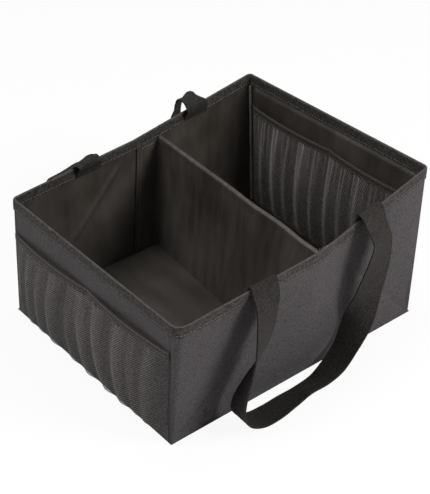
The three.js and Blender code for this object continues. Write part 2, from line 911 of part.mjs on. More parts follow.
// One edge of the strap over the rim: up the hem's inner flap, over the arch, down outside
function edgeOverRim(side, x, arch) {
  const outwards = side === 'front' ? -1 : 1;
  const rim = rimHeightAt(side, x);
  const half = strapThickness / 2;
  const inner = canvas + clearance + hemCloth + clearance + half;
  const outer = clearance + hemCloth + clearance + half;
  const roof = clearance + half;
  const stops = [
    [inner, hemDepth - 1],
    [inner, hemDepth / 2],
    [inner, 1.5],
    [inner * 0.55, -roof - arch * 0.85],
    [-outer * 0.6, -roof - arch],
    [-outer - arch * 0.7, 2 - arch],
    [-outer - 2 - arch * 1.5, 8 - arch * 0.4],
  ];
  return stops.map(([inset, drop]) => {
    const wall = longWallAt(side, x, rim - Math.max(0, drop), 0);
    return new THREE.Vector3(x, wall.y - outwards * inset, rim - drop);
  });
}

// Both edges together give the strap's middle and the direction across it
function overRim(side, foot, turned) {
  const x = handleFeet[side][foot];
  const [leftArch, rightArch] = handleArch[side][foot];
  const left = edgeOverRim(side, x - strapWidth / 2, leftArch);
  const right = edgeOverRim(side, x + strapWidth / 2, rightArch);
  return left.map((edge, stop) => {
    const direction = right[stop].clone().sub(edge).normalize();
    direction.multiplyScalar(turned ? -1 : 1);
    return { place: edge.clone().lerp(right[stop], 0.5), across: direction };
  });
}

function strapStations(side) {
  const outwards = side === 'front' ? -1 : 1;
  const feet = handleFeet[side];
  const hang = (list, foot, ground) => list.map(([dx, out, height, turn, tip]) => {
    const rim = rimHeightAt(side, feet[foot]);
    const x = ground ? dx + feet.left - handleFeet.front.left : feet[foot] + dx;
    const y = outwards * (baseWidth / 2 + out);
    const direction = across(turn, tip);
    direction.y *= -outwards;
    return { place: new THREE.Vector3(x, y, ground ? height : height * rim), across: direction };
  });
  return [
    ...overRim(side, 'left', false),
    ...hang(leftLeg, 'left', false),
    ...hang(groundRun, 'left', true),
    ...hang(rightLeg, 'right', false),
    ...overRim(side, 'right', true).reverse(),
  ];
}

function handleGeometry(side) {
  const stations = strapStations(side);
  const middle = new THREE.CatmullRomCurve3(stations.map((station) => station.place));
  const aim = new THREE.CatmullRomCurve3(stations.map((station) => station.across));
  const cells = 3 * (stations.length - 1);
  return sheet(cells, 1, (u, v, w) => {
    const centre = middle.getPoint(u);
    const tangent = middle.getTangent(u);
    const wide = aim.getPoint(u);
    wide.addScaledVector(tangent, -wide.dot(tangent)).normalize();
    const normal = wide.clone().cross(tangent).normalize();
    return centre
      .addScaledVector(wide, (v - 0.5) * strapWidth)
      .addScaledVector(normal, (w - 0.5) * strapThickness);
  });
}

add('front_handle', handleGeometry('front'), webbing);
add('back_handle', handleGeometry('back'), webbing);

export default caddy;
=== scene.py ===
import math
from functools import lru_cache, partial

import bpy
from mathutils import Matrix, Vector, noise


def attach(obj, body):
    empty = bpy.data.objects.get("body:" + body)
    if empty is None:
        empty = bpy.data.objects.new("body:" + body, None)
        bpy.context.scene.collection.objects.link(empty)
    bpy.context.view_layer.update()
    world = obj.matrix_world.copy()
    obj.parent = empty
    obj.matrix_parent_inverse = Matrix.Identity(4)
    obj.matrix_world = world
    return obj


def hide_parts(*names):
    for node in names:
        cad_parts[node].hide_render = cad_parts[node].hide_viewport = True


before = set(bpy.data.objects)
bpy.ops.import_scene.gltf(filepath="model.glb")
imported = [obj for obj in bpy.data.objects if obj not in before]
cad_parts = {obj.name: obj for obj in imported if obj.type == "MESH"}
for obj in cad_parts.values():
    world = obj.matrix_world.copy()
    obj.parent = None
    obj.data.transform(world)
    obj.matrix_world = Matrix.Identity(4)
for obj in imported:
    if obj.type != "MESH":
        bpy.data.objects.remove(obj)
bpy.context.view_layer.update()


# Camera
# A long lens from above the near left corner, so that the box is seen over its left end
# and its front long wall, as a product is photographed.
CAMERA_AIM = Vector((0.00096, 0.00239, 0.1))
CAMERA_TURN = math.radians(-38.69)
CAMERA_RISE = math.radians(37.36)
CAMERA_DISTANCE = 1.7469

bpy.ops.object.camera_add()
camera = bpy.context.object
back = Vector((
    math.sin(CAMERA_TURN) * math.cos(CAMERA_RISE),
    -math.cos(CAMERA_TURN) * math.cos(CAMERA_RISE),
    math.sin(CAMERA_RISE),
))
camera.location = CAMERA_AIM + back * CAMERA_DISTANCE
camera.rotation_euler = back.to_track_quat("Z", "Y").to_euler()
camera.data.lens = 102.38
camera.data.sensor_width = 36
camera.data.clip_start = 0.05
camera.data.clip_end = 30
bpy.context.scene.camera = camera
bpy.context.scene.view_settings.view_transform = "Standard"


# Base panel
# A plain woven panel under the whole box, on which it stands. It is cut to the floor's plan
# and its edges rise a little to meet the walls.
FOOT_LEVEL = 0.0015
FOOT_RADIUS = 0.004
HALF_LENGTH = 0.193
HALF_WIDTH = 0.158
FACING = 0.0009
BASE_GAP = 0.0001
BASE_EDGE_RISE = 0.0002
WAVE_TEXTURE_STEP = 0.314
foot = {
    "front_left": Vector((-0.191, -0.157, FOOT_LEVEL)),
    "front_right": Vector((0.192, -0.157, FOOT_LEVEL)),
    "back_right": Vector((0.193, 0.158, FOOT_LEVEL)),
    "back_left": Vector((-0.197, 0.160, FOOT_LEVEL)),
}
foot["front"] = foot["front_left"].lerp(foot["front_right"], 0.5)
foot["back"] = foot["back_left"].lerp(foot["back_right"], 0.5)


def mix(a, b, share):
    return a + (b - a) * share


def smooth(value):
    t = min(1.0, max(0.0, value))
    return t * t * (3 - 2 * t)


def dent(distance, width):
    """A soft hump of height 1 at distance 0, gone at about twice the width."""
    return math.exp(-(distance / width) ** 2)


def waves(point, size, seed=0.0):
    """Slow, uneven waves of cloth, about from -1 to 1 and size apart."""
    return 1.6 * noise.noise(Vector(point) / size + Vector((seed, 3.1 * seed, 0.7)))


def crowd(u, cells, edge_cells, edge_share):
    """Grid lines close together at both ends: edge_cells of them lie in edge_share."""
    line = u * cells
    if line < edge_cells:
        return edge_share * line / edge_cells
    if line > cells - edge_cells:
        return 1 - edge_share * (cells - line) / edge_cells
    return mix(edge_share, 1 - edge_share, (line - edge_cells) / (cells - 2 * edge_cells))


def plan_point(u, v, end_inset, long_inset):
    """A point of the floor's plan, moved in: u from left to right, v from front to back."""
    front = foot["front_left"].lerp(foot["front_right"], u)
    point = front.lerp(foot["back_left"].lerp(foot["back_right"], u), v)
    point.x *= 1 - end_inset / HALF_LENGTH
    point.y *= 1 - long_inset / HALF_WIDTH
    return point


def named(name):
    """The object that an operator has just made, under its piece's name."""
    piece = bpy.context.object
    piece.name = name
    piece.data.name = name
    return piece


def paint(piece, slot, *materials):
    piece.data.materials.clear()
    for material in materials:
        piece.data.materials.append(material)
    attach(piece, "root")


def new_sheet(name, slot, materials, grid, size, thickness, place, offset=-1.0,
              inside_out=False, closed=False):
    """Cloth of that flat size: a grid moved to place(u, v), with its UV in metres. It is
    thickened inwards unless offset says otherwise. A second material is for its back."""
    bpy.ops.mesh.primitive_grid_add(x_subdivisions=grid[0], y_subdivisions=grid[1], size=1)
    sheet = named(name)
    spots = [(v.co.x + 0.5, v.co.y + 0.5) for v in sheet.data.vertices]
    layer = sheet.data.uv_layers.active.data
    for loop in sheet.data.loops:
        u, v = spots[loop.vertex_index]
        layer[loop.index].uv = (u * size[0], v * size[1])
    for vertex, (u, v) in zip(sheet.data.vertices, spots):
        vertex.co = place(u, v)
    if inside_out:
        for polygon in sheet.data.polygons:
            polygon.flip()
    if closed:
        bpy.ops.object.mode_set(mode="EDIT")
        bpy.ops.mesh.select_all(action="SELECT")
        bpy.ops.mesh.remove_doubles(threshold=0.00002)
        bpy.ops.object.mode_set(mode="OBJECT")
    paint(sheet, slot, *materials)
    solid = sheet.modifiers.new("Thickness", "SOLIDIFY")
    solid.thickness = thickness
    solid.offset = offset
    solid.material_offset = len(materials) - 1
    bpy.ops.object.modifier_apply(modifier=solid.name)
    bpy.ops.object.shade_smooth_by_angle(angle=math.radians(50))
    return sheet


def new_look(name):
    material = bpy.data.materials.new(name)
    material.use_nodes = True
    return material, material.node_tree


def feed(tree, node, sources):
    """Gives each named input a value, or links it to another node's output."""
    for slot, source in sources.items():
        if isinstance(source, bpy.types.NodeSocket):
            tree.links.new(source, node.inputs[slot])
        else:
            node.inputs[slot].default_value = source


def finish_look(tree, sources):
    feed(tree, tree.nodes["Principled BSDF"], sources)


def add_node(tree, kind, sources):
    node = tree.nodes.new("ShaderNode" + kind)
    feed(tree, node, sources)
    return node


def own_uv(tree):
    return tree.nodes.new("ShaderNodeUVMap").outputs["UV"]


def maths(tree, operation, *sources):
    node = add_node(tree, "Math", dict(enumerate(sources)))
    node.operation = operation
    return node.outputs["Value"]


def thread_wave(tree, direction, pitch, distortion=0.25):
    """Rounded threads that lie side by side at that pitch, from the piece's own UV."""
    wave = add_node(tree, "TexWave", {
        "Vector": own_uv(tree), "Scale": WAVE_TEXTURE_STEP / pitch,
        "Distortion": distortion, "Detail": 0,
    })
    wave.bands_direction = direction
    return wave.outputs["Fac"]


def plain_weave(tree, pitch):
    """Threads that cross over and under each other, so that the pattern repeats at pitch."""
    warp = thread_wave(tree, "X", pitch)
    weft = thread_wave(tree, "Y", pitch)
    return maths(tree, "ABSOLUTE", maths(tree, "SUBTRACT", warp, weft))


def mottle(tree, scale, detail):
    """Uneven patches in object space."""
    place = tree.nodes.new("ShaderNodeTexCoord").outputs["Object"]
    patches = add_node(tree, "TexNoise", {"Vector": place, "Scale": scale, "Detail": detail})
    return patches.outputs["Fac"]


def spread(tree, source, low, high, new_low=0.0, new_high=1.0):
    return add_node(tree, "MapRange", {
        "Value": source, "From Min": low, "From Max": high, "To Min": new_low, "To Max": new_high,
    }).outputs["Result"]


def shades(tree, source, dark, light):
    """Passes from a dark to a light shade of a colour as source goes from 0 to 1."""
    ramp = add_node(tree, "ValToRGB", {"Fac": source})
    ramp.color_ramp.elements[0].color = (*dark, 1)
    ramp.color_ramp.elements[1].color = (*light, 1)
    return ramp.outputs["Color"]


def raised(tree, height, distance):
    bump = add_node(tree, "Bump", {"Height": height, "Distance": distance})
    return bump.outputs["Normal"]


def woven_cloth(name, dark, light, pitch, slub, depth, painted_highlight_at=None):
    """Matt cloth: a plain weave whose threads have slubs and vary in shade from one to the next.
    It may have a painted highlight along a fold, at that distance across it."""
    material, tree = new_look(name)
    fine = spread(tree, mottle(tree, slub, 2), 0.33, 0.67)
    height = maths(tree, "MULTIPLY_ADD", plain_weave(tree, 2 * pitch), 0.3, fine)
    tone = maths(tree, "MULTIPLY_ADD", mottle(tree, 9, 3), 0.5, height)
    tone = spread(tree, tone, 0.1, 1.6)
    # Painted highlight along the fold: the colour is lightened in a narrow band there.
    if painted_highlight_at is not None:
        split = add_node(tree, "SeparateXYZ", {"Vector": own_uv(tree)})
        away = maths(tree, "ABSOLUTE", maths(tree, "SUBTRACT", split.outputs["Y"], painted_highlight_at))
        tone = maths(tree, "ADD", tone, spread(tree, away, 0.0004, 0.0024, 0.45, 0.0))
    finish_look(tree, {
        "Base Color": shades(tree, tone, dark, light), "Normal": raised(tree, height, depth),
        "Roughness": 0.9, "Specular IOR Level": 0.2,
        "Sheen Weight": 0.03, "Sheen Roughness": 0.5,
    })
    return material


outside_cloth = woven_cloth("woven outside cloth", (0.022, 0.019, 0.020), (0.087, 0.078, 0.081),
                            0.0006, 620, 0.00022)


def base_point(u, v):
    point = plan_point(1 - u, v, 0.0, 0.0)
    edge = min(min(u, 1 - u) * 2 * HALF_LENGTH, min(v, 1 - v) * 2 * HALF_WIDTH)
    point.z = BASE_GAP + BASE_EDGE_RISE * dent(edge, 0.004)
    return point


base_panel = new_sheet("base_panel", "woven_cloth", [outside_cloth], (96, 80),
                       (2 * HALF_LENGTH, 2 * HALF_WIDTH), FACING, base_point)
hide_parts("base_outer")


# Floor
# A stiff board lies on the base panel. Over it goes a loose cover of glossy coated cloth, cut
# larger than the board and turned down at its edges.
COVER_TOP = 0.0057
COVER_TURN = 0.004
COVER_ROUND = 0.0016
COVER_END_INSET = 0.006
COVER_LONG_INSET = 0.0024
COVER_GRID = (120, 100)
COVER_CUT = (0.382, 0.319)
COVER_WAVE = 0.00022
COATED_SHADE = (0.029, 0.025, 0.0205)


def coated_cloth(name, light, across, along):
    """Coated side of the cloth: a smooth skin that shows the weave under it faintly. Long soft
    bands, across and along giving how many to a metre of its UV, give it a soft relief and
    lighten its colour as a painted sheen of glossy folds."""
    material, tree = new_look(name)
    broad = mottle(tree, 11, 3)
    stretch = add_node(tree, "Mapping", {"Vector": own_uv(tree), "Scale": (across, along, 1)})
    relief_and_painted_sheen = add_node(tree, "TexNoise", {
        "Vector": stretch.outputs["Vector"], "Scale": 1, "Detail": 5,
    }).outputs["Fac"]
    # Painted sheen: the colour is lightened along the same soft bands that give the relief.
    tone = spread(tree, maths(tree, "ADD", broad, relief_and_painted_sheen), 0.7, 1.35)
    weave = add_node(tree, "Bump", {
        "Height": plain_weave(tree, 0.0012), "Distance": 0.00004,
        "Normal": raised(tree, relief_and_painted_sheen, 0.0012),
    })
    finish_look(tree, {
        "Base Color": shades(tree, tone, COATED_SHADE, light), "Normal": weave.outputs["Normal"],
        "Roughness": spread(tree, broad, 0.3, 0.7, 0.34, 0.5), "Specular IOR Level": 0.5,
        "Coat Weight": 0.15, "Coat Roughness": 0.35,
    })
    return material


def plain_look(name, scale, detail, dark, light, depth, roughness):
    """A material whose shade and fine relief both follow one set of uneven patches."""
    material, tree = new_look(name)
    patches = mottle(tree, scale, detail)
    finish_look(tree, {
        "Base Color": shades(tree, patches, dark, light),
        "Normal": raised(tree, patches, depth), "Roughness": roughness,
    })
    return material


inside_cloth = coated_cloth("coated inside cloth", (0.066, 0.058, 0.051), 50, 14)
board_stock = plain_look("stiffening board", 120, 6, (0.08, 0.08, 0.075), (0.13, 0.13, 0.125),
                         0.0002, 0.7)


def hinge(distance):
    """Smoothly passes from 0 to distance as distance goes from below to above zero."""
    return 0.5 * (math.sqrt(distance * distance + COVER_ROUND ** 2) + distance)


def turned(share, half, inset):
    """Where cloth that is turned down at both ends lies: its share of the plan, and its drop."""
    half = half - inset
    along = (half + COVER_TURN) * (2 * share - 1)
    plan = half - hinge(half - abs(along))
    drop = hinge(abs(along) - half)
    return 0.5 + 0.5 * math.copysign(plan, along) / half, drop


def floor_point(u, v):
    across, end_drop = turned(crowd(u, COVER_GRID[0], 12, 0.03), HALF_LENGTH, COVER_END_INSET)
    along, long_drop = turned(crowd(v, COVER_GRID[1], 12, 0.035), HALF_WIDTH, COVER_LONG_INSET)
    point = plan_point(across, along, COVER_END_INSET, COVER_LONG_INSET)
    point.z = COVER_TOP - min(COVER_TURN, max(end_drop, long_drop))
    inner = smooth(min(u, 1 - u, v, 1 - v) * 12)
    point.z += COVER_WAVE * inner * (1 + waves(point, 0.09))
    return point


floor_cover = new_sheet("floor_lining", "coated_cloth", [inside_cloth], COVER_GRID, COVER_CUT,
                        FACING, floor_point)
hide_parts("floor_cover")
paint(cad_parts["floor_board"], "board", board_stock)


# Long walls
# Each long wall is one canvas, woven outside and coated inside, carried round the corners to
# the end seams. A gusset crease runs from the middle of the rim down to each foot corner.
CLEARANCE = 0.0003
CANVAS = 0.0012
CANVAS_CUT = (0.405, 0.2)
HEM_CLOTH = 0.0008
HEM_ROOF = HEM_CLOTH + CLEARANCE
CORNER_SHARE = 0.05
STRAIGHT_SHARE = 0.5 - CORNER_SHARE
CREASE_DEPTH = 0.0032
CREASE_SPREAD = 0.4
FOLD_HEIGHT = {"front": 0.0011, "back": 0.0030}
FOLD_WIDTH = 0.0065
FOLD_RUN = 0.14
WALL_GRID = (190, 100)
WALL_ARC = 12
WALL_WAVE = 0.0006
SEAM_TUCK = 0.0011
SEAM_TUCK_WIDTH = 0.0014
rim = {
    "front_left": Vector((-0.193, -0.176, 0.187)),
    "front": Vector((0.014, -0.1745, 0.193)),
    "front_right": Vector((0.204, -0.153, 0.217)),
    "back_right": Vector((0.191, 0.164, 0.206)),
    "back": Vector((-0.012, 0.153, 0.187)),
    "back_left": Vector((-0.197, 0.146, 0.183)),
}
rim_radius = {"front_left": 0.014, "front_right": 0.007, "back_right": 0.005, "back_left": 0.007}
RING = list(rim)
SIDES = {
    "front": ("front_left", "front_right"),
    "right": ("front_right", "back_right"),
    "back": ("back_right", "back_left"),
    "left": ("back_left", "front_left"),
}


def flat(vector):
    return Vector((vector.x, vector.y, 0))


def at_level(name, level):
    return foot[name].lerp(rim[name], level)


@lru_cache(maxsize=None)
def round_corner(name, level):
    """The rounding of a corner at a level from 0 at the foot to 1 at the rim."""
    place = RING.index(name)
    here = at_level(name, level)
    to_before = flat(at_level(RING[place - 1], level) - here).normalized()
    to_after = flat(at_level(RING[(place + 1) % 6], level) - here).normalized()
    angle = to_before.angle(to_after)
    radius = mix(FOOT_RADIUS, rim_radius[name], level * level)
    centre = here + (to_before + to_after) * (radius / math.sin(angle))
    reach = radius / math.tan(angle / 2)
    return {
        "centre": centre,
        "radius": radius,
        "entry": here + to_before * reach,
        "exit": here + to_after * reach,
        "outward": flat(here - centre).normalized(),
        "to_before": to_before,
        "to_after": to_after,
    }


def on_arc(corner, share, inset):
    first = flat(corner["entry"] - corner["centre"]).normalized()
    last = flat(corner["exit"] - corner["centre"]).normalized()
    turn = first.angle(last) * share
    direction = Matrix.Rotation(turn, 3, "Z") @ first
    return corner["centre"] + direction * (corner["radius"] - inset)


def inward_of(start, end):
    along = flat(end - start).normalized()
    return Vector((-along.y, along.x, 0))


def crease_inset(share, level):
    ridge = max(0.0, 1 - abs(share - level) / CREASE_SPREAD)
    fade = max(0.0, min(1.0, level / 0.1, (0.9 - level) / 0.3))
    return CREASE_DEPTH * ridge * fade


def long_wall_point(side, u, level, inset):
    first, last = (round_corner(name, level) for name in SIDES[side])
    if u <= CORNER_SHARE:
        return on_arc(first, u / CORNER_SHARE, inset)
    if u >= 1 - CORNER_SHARE:
        return on_arc(last, (u - 1 + CORNER_SHARE) / CORNER_SHARE, inset)
    kink = at_level(side, level)
    in_first = inward_of(first["exit"], kink)
    in_last = inward_of(kink, last["entry"])
    mitre = (in_first + in_last).normalized()
    mitre /= mitre.dot(in_first)
    on_first = u < 0.5
    share = (u - CORNER_SHARE if on_first else 1 - CORNER_SHARE - u) / STRAIGHT_SHARE
    end = first["exit"] if on_first else last["entry"]
    depth = inset + crease_inset(share, level)
    start = end + (in_first if on_first else in_last) * depth
    return start.lerp(kink + mitre * depth, share)


def end_wall_point(side, u, level, inset, margin):
    first, last = (round_corner(name, level) for name in SIDES[side])
    start = first["exit"] + first["to_after"] * margin
    end = last["entry"] + last["to_before"] * margin
    return start.lerp(end, u) + inward_of(start, end) * inset


def shell(side, u, level, inset, margin=0.0):
    """A point of the walls: u runs along the side, inset is measured in from the outer face."""
    if side in ("front", "back"):
        return long_wall_point(side, u, level, inset)
    return end_wall_point(side, u, level, inset, margin)


@lru_cache(maxsize=None)
def rim_height(side, u):
    return shell(side, u, 1.0, 0.0).z


def level_below(side, u, drop):
    return 1 - drop / (rim_height(side, u) - FOOT_LEVEL)


def level_at(side, u, height):
    return (height - FOOT_LEVEL) / (rim_height(side, u) - FOOT_LEVEL)


def canvas_point(side, u, v):
    """The canvas, with its sharp crease folds, turned-in seam edges and slow unevenness."""
    share = crowd(u, WALL_GRID[0], WALL_ARC, CORNER_SHARE)
    level = v * level_below(side, share, HEM_ROOF)
    corner = round_corner(SIDES[side][0 if u < 0.5 else 1], level)
    seam = min(share, 1 - share) / CORNER_SHARE * corner["radius"] * 1.6
    inset = SEAM_TUCK * dent(seam, SEAM_TUCK_WIDTH)
    along = (min(share, 1 - share) - CORNER_SHARE) / STRAIGHT_SHARE
    top = 0.8 if side == "front" or share < 0.5 else 0.9
    fade = smooth(level * 8) * smooth((top - level) * 8)
    away = abs(along - level) * FOLD_RUN
    inset += FOLD_HEIGHT[side] * max(0.0, 1 - away / FOLD_WIDTH) * fade
    inner = smooth(along * 6) * smooth(level * 6) * smooth((0.9 - level) * 6)
    inset += WALL_WAVE * waves((share, level, 2.0), 0.22, 4) * inner
    return shell(side, share, level, inset)


for side in ("front", "back"):
    canvas = new_sheet(side + "_canvas", "woven_cloth", [outside_cloth, inside_cloth],
                       WALL_GRID, CANVAS_CUT, CANVAS, partial(canvas_point, side))
    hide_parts(side + "_wall")


# Stiff ends
# Each end is a woven panel outside, a board, and a coated lining that is sewn in round the
# board, so that it dips from the board's face to the seams and to the hem.
END_BOARD = 0.0024
END_CUT = (0.31, 0.19)
PANEL_GRID = (90, 64)
PANEL_SWELL = 0.00025
LINING_GRID = (100, 90)
HEM_DEPTH = 0.015
LINING_SHALLOW = FACING + CLEARANCE
LINING_DEEP = LINING_SHALLOW + END_BOARD + CLEARANCE
LINING_MARGIN = 0.0038
LINING_SLOPE = 0.005
LINING_WAVE = 0.00025
DISH_DROP = HEM_DEPTH + CLEARANCE


@lru_cache(maxsize=None)
def end_span(side):
    start = shell(side, 0, 0.5, 0, LINING_MARGIN)
    return (start - shell(side, 1, 0.5, 0, LINING_MARGIN)).length


def lining_inset(edge, drop):
    """Inset of the lining's back: shallow at the seams and under the hem, deep over the board."""
    rise = min(edge, drop - DISH_DROP) / LINING_SLOPE
    return mix(LINING_SHALLOW, LINING_DEEP, smooth(rise))


def panel_point(side, u, v):
    along = crowd(u, PANEL_GRID[0], 8, 0.02)
    level = v * level_below(side, along, HEM_ROOF)
    seam = min(along, 1 - along) * end_span(side)
    inset = SEAM_TUCK * dent(seam, SEAM_TUCK_WIDTH)
    over_board = smooth((seam - 0.006) / 0.006) * smooth(level * 12)
    over_board *= smooth((0.88 - level) * 20)
    inset -= PANEL_SWELL * over_board * (1 + 0.5 * waves((along, level, 1.0), 0.3, 2))
    return shell(side, along, level, inset, CLEARANCE)


def lining_point(side, u, v):
    along = crowd(u, LINING_GRID[0], 8, 0.04)
    level = v * level_below(side, along, HEM_ROOF)
    drop = (1 - level) * (rim_height(side, along) - FOOT_LEVEL)
    edge = min(along, 1 - along) * end_span(side)
    inset = lining_inset(edge, drop) + FACING
    loose = smooth((edge - 0.004) / 0.02) * smooth((drop - 0.02) / 0.02) * smooth(level * 8)
    inset += LINING_WAVE * loose * (1 + waves((along, level, 5.0), 0.16, 7))
    return shell(side, along, level, inset, LINING_MARGIN)


for side in ("left", "right"):
    panel = new_sheet(side + "_end_panel", "woven_cloth", [outside_cloth],
                      PANEL_GRID, END_CUT, FACING, partial(panel_point, side))
    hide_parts(side + "_end_outer")
    lining = new_sheet(side + "_end_coated_lining", "coated_cloth", [inside_cloth],
                       LINING_GRID, (0.308, 0.19), FACING, partial(lining_point, side),
                       inside_out=True)
    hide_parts(side + "_end_lining")
    paint(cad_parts[side + "_end_board"], "board", board_stock)


# Seam bindings
# A grey tape is folded over the seam allowance inside each corner and sewn through, so that a
# thin roll runs from the floor up to the hem.
ON_FLOOR = COVER_TOP + CLEARANCE
BINDING_RADIUS = 0.0022
BINDING_WRAP = 2.6
seam_tape = woven_cloth("seam tape", (0.13, 0.119, 0.109), (0.30, 0.28, 0.26),
                        0.0005, 500, 0.0002)


def binding_point(corner_name, u, v):
    top = rim[corner_name].z
    height = mix(ON_FLOOR, top - HEM_DEPTH - 0.001, v)
    corner = round_corner(corner_name, (height - FOOT_LEVEL) / (top - FOOT_LEVEL))
    reach = corner["radius"] - CANVAS - CLEARANCE - BINDING_RADIUS - 0.0001
    around = mix(-BINDING_WRAP, BINDING_WRAP, u)
    sideways = corner["outward"].cross(Vector((0, 0, 1)))
    pinch = BINDING_RADIUS * (1 - 0.12 * dent(math.fmod(v * 170, 3) - 1.5, 0.6))
    out = -math.cos(around) * BINDING_RADIUS
    point = corner["centre"] + corner["outward"] * (reach + out)
    point += sideways * (math.sin(around) * pinch * 0.9)
    return Vector((point.x, point.y, height))


for corner_name in rim_radius:
    binding = new_sheet("corner_binding_" + corner_name, "seam_tape", [seam_tape],
                        (14, 60), (0.0115, 0.17), 0.0006, partial(binding_point, corner_name))
    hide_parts("seam_binding_" + corner_name)


# Rim hem
# One long strip of coarse, lighter cloth is folded over the top edge all round and sewn through
# near both of its edges. Its two ends lap at the kink of the front rim, bunched and thick.
HEM_LAP = 0.0014
HEM_LAP_LENGTH = 0.026
HEM_SEAM_DROP = HEM_DEPTH - 0.0024
HEM_STITCH_STEPS = 560
END_LAYERS = 2 * FACING + CLEARANCE
HEM_RUN = (("front", 0.402), ("right", 0.303), ("back", 0.396), ("left", 0.309))
HEM_LENGTH = sum(run for side, run in HEM_RUN)
HEM_WIDTH = 0.033
STITCH_PITCH = 0.0042
STITCH_LENGTH = 0.0028
STITCH_RADIUS = 0.0004
STITCH_SINK = 0.0001
# Its top fold, half its width across, gets a painted highlight.
hem_cloth = woven_cloth("coarse hem cloth", (0.006, 0.005, 0.0048), (0.066, 0.058, 0.057),
                        0.0009, 320, 0.0005, HEM_WIDTH / 2)


def hem_place(u):
    """The side and the share along it at a share of the whole rim."""
    run = u * HEM_LENGTH
    for side, length in HEM_RUN:
        if run <= length or side == "left":
            return side, min(1.0, run / length)
        run -= length


def hem_filling(side, u):
    if side in ("left", "right"):
        return END_LAYERS
    return mix(END_LAYERS, CANVAS, smooth(min(u, 1 - u) / CORNER_SHARE))


def hem_lapping(side, u):
    """How fully the strip's two ends lie over each other there, from 0 to 1."""
    away = (shell(side, u, 1.0, 0.0) - rim["front"]).length
    return smooth(2 - 2 * away / HEM_LAP_LENGTH)


def hem_spot(filling, v):
    """Inset and drop of the strip's outer face, from its outer edge over the top to its inner."""
    outer = -CLEARANCE - HEM_CLOTH
    inner = filling + CLEARANCE + HEM_CLOTH
    half = (inner - outer) / 2
    straight = HEM_DEPTH - half
    run = v * (2 * straight + math.pi * half)
    if run < straight:
        return outer, HEM_DEPTH - run
    if run > straight + math.pi * half:
        return inner, run - straight - math.pi * half + half
    turn = (run - straight) / half
    return (outer + inner) / 2 - half * math.cos(turn), half - half * math.sin(turn)


def hem_point(u, v):
    side, share = hem_place(u)
    inset, drop = hem_spot(hem_filling(side, share), v)
    outwards = -1 if v < 0.5 else 1
    lap = hem_lapping(side, share)
    run = u * HEM_LENGTH
    pucker = 0.5 + 0.5 * math.sin(run / 0.0011 + 2 * waves((run, 0.0, 0.0), 0.03))
    inset -= outwards * 0.00028 * dent(drop - HEM_SEAM_DROP, 0.0016)
    inset += outwards * 0.00016 * pucker * smooth(drop / 0.006)
    if v < 0.5:
        inset -= HEM_LAP * lap * (0.8 + 0.3 * waves((run, drop, 0.0), 0.006, 3))
    drop -= (0.0005 + 0.0003 * waves((run, 0.0, 1.0), 0.02)) * lap * dent(drop, 0.006)
    return shell(side, share, level_below(side, share, drop), inset)


hem = new_sheet("rim_binding", "hem_cloth", [hem_cloth], (640, 24), (HEM_LENGTH, HEM_WIDTH),
                HEM_CLOTH * 0.9, hem_point, closed=True)
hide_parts("rim_hem")

thread = plain_look("grey sewing thread", 700, 2, (0.05, 0.045, 0.042), (0.22, 0.20, 0.19),
                    0.0001, 0.6)


def thread_curve(name, lines):
    """A curve object with one run of straight steps through each list of points."""
    curve = bpy.data.curves.new(name, "CURVE")
    curve.dimensions = "3D"
    for line in lines:
        spline = curve.splines.new("POLY")
        spline.points.add(len(line) - 1)
        for spot, point in zip(spline.points, line):
            spot.co = (*point, 1)
    piece = bpy.data.objects.new(name, curve)
    bpy.context.scene.collection.objects.link(piece)
    return piece


def select_only(piece):
    bpy.ops.object.select_all(action="DESELECT")
    piece.select_set(True)
    bpy.context.view_layer.objects.active = piece


def as_threads(curve, radius, roundness):
    """Turns a curve into a mesh of capped threads."""
    select_only(curve)
    curve.data.bevel_depth = radius
    curve.data.bevel_resolution = roundness
    curve.data.use_fill_caps = True
    bpy.ops.object.convert(target="MESH")
    return bpy.context.object


def stitch_row(name, line):
    """One modelled stitch, repeated along a line of points and bent to follow it."""
    bpy.ops.mesh.primitive_uv_sphere_add(segments=8, ring_count=5, radius=1)
    row = named(name)
    size = (STITCH_LENGTH / 2, STITCH_RADIUS, STITCH_RADIUS)
    bpy.ops.object.mode_set(mode="EDIT")
    bpy.ops.mesh.select_all(action="SELECT")
    bpy.ops.transform.rotate(value=math.pi / 2, orient_axis="Y", center_override=(0, 0, 0))
    bpy.ops.transform.resize(value=size, center_override=(0, 0, 0))
    bpy.ops.transform.translate(value=(STITCH_PITCH / 2, 0, 0))
    bpy.ops.object.mode_set(mode="OBJECT")
    path = thread_curve(name + "_line", [line])
    length = sum((after - before).length for before, after in zip(line, line[1:]))
    array = row.modifiers.new("Array", "ARRAY")
    array.count = max(1, int(length / STITCH_PITCH))
    array.use_relative_offset = False
    array.use_constant_offset = True
    array.constant_offset_displace = (STITCH_PITCH, 0, 0)
    bend = row.modifiers.new("Curve", "CURVE")
    bend.object = path
    bpy.ops.object.modifier_apply(modifier=array.name)
    bpy.ops.object.modifier_apply(modifier=bend.name)
    bpy.data.objects.remove(path)
    bpy.ops.object.shade_smooth()
    paint(row, "hem_cloth", thread)


def hem_line(outside):
    """Points along the whole rim where the strip is sewn, on its outer or its inner face."""
    points = []
    for step in range(HEM_STITCH_STEPS + 1):
        side, share = hem_place(step / HEM_STITCH_STEPS)
        if outside:
            lap = HEM_LAP * hem_lapping(side, share)
            inset = -CLEARANCE - HEM_CLOTH + STITCH_SINK - lap
        else:
            inset = hem_filling(side, share) + CLEARANCE + HEM_CLOTH - STITCH_SINK
        points.append(shell(side, share, level_below(side, share, HEM_SEAM_DROP), inset))
    return points


stitch_row("hem_stitches_outside", hem_line(True))
stitch_row("hem_stitches_inside", hem_line(False))


def thread_end(along, lean, tall):
    """A cut thread end that stands up where the strip's ends lap, and leans as it rises."""
    line = []
    for step in range(6):
        rise = step / 5
        root = shell("front", 0.5 + along / 0.4, 1.0, 0.0006)
        lifted = HEM_CLOTH + tall * rise * (1.2 - 0.4 * rise)
        line.append(root + Vector((lean * rise * rise, -0.0015 * rise, lifted)))
    return line


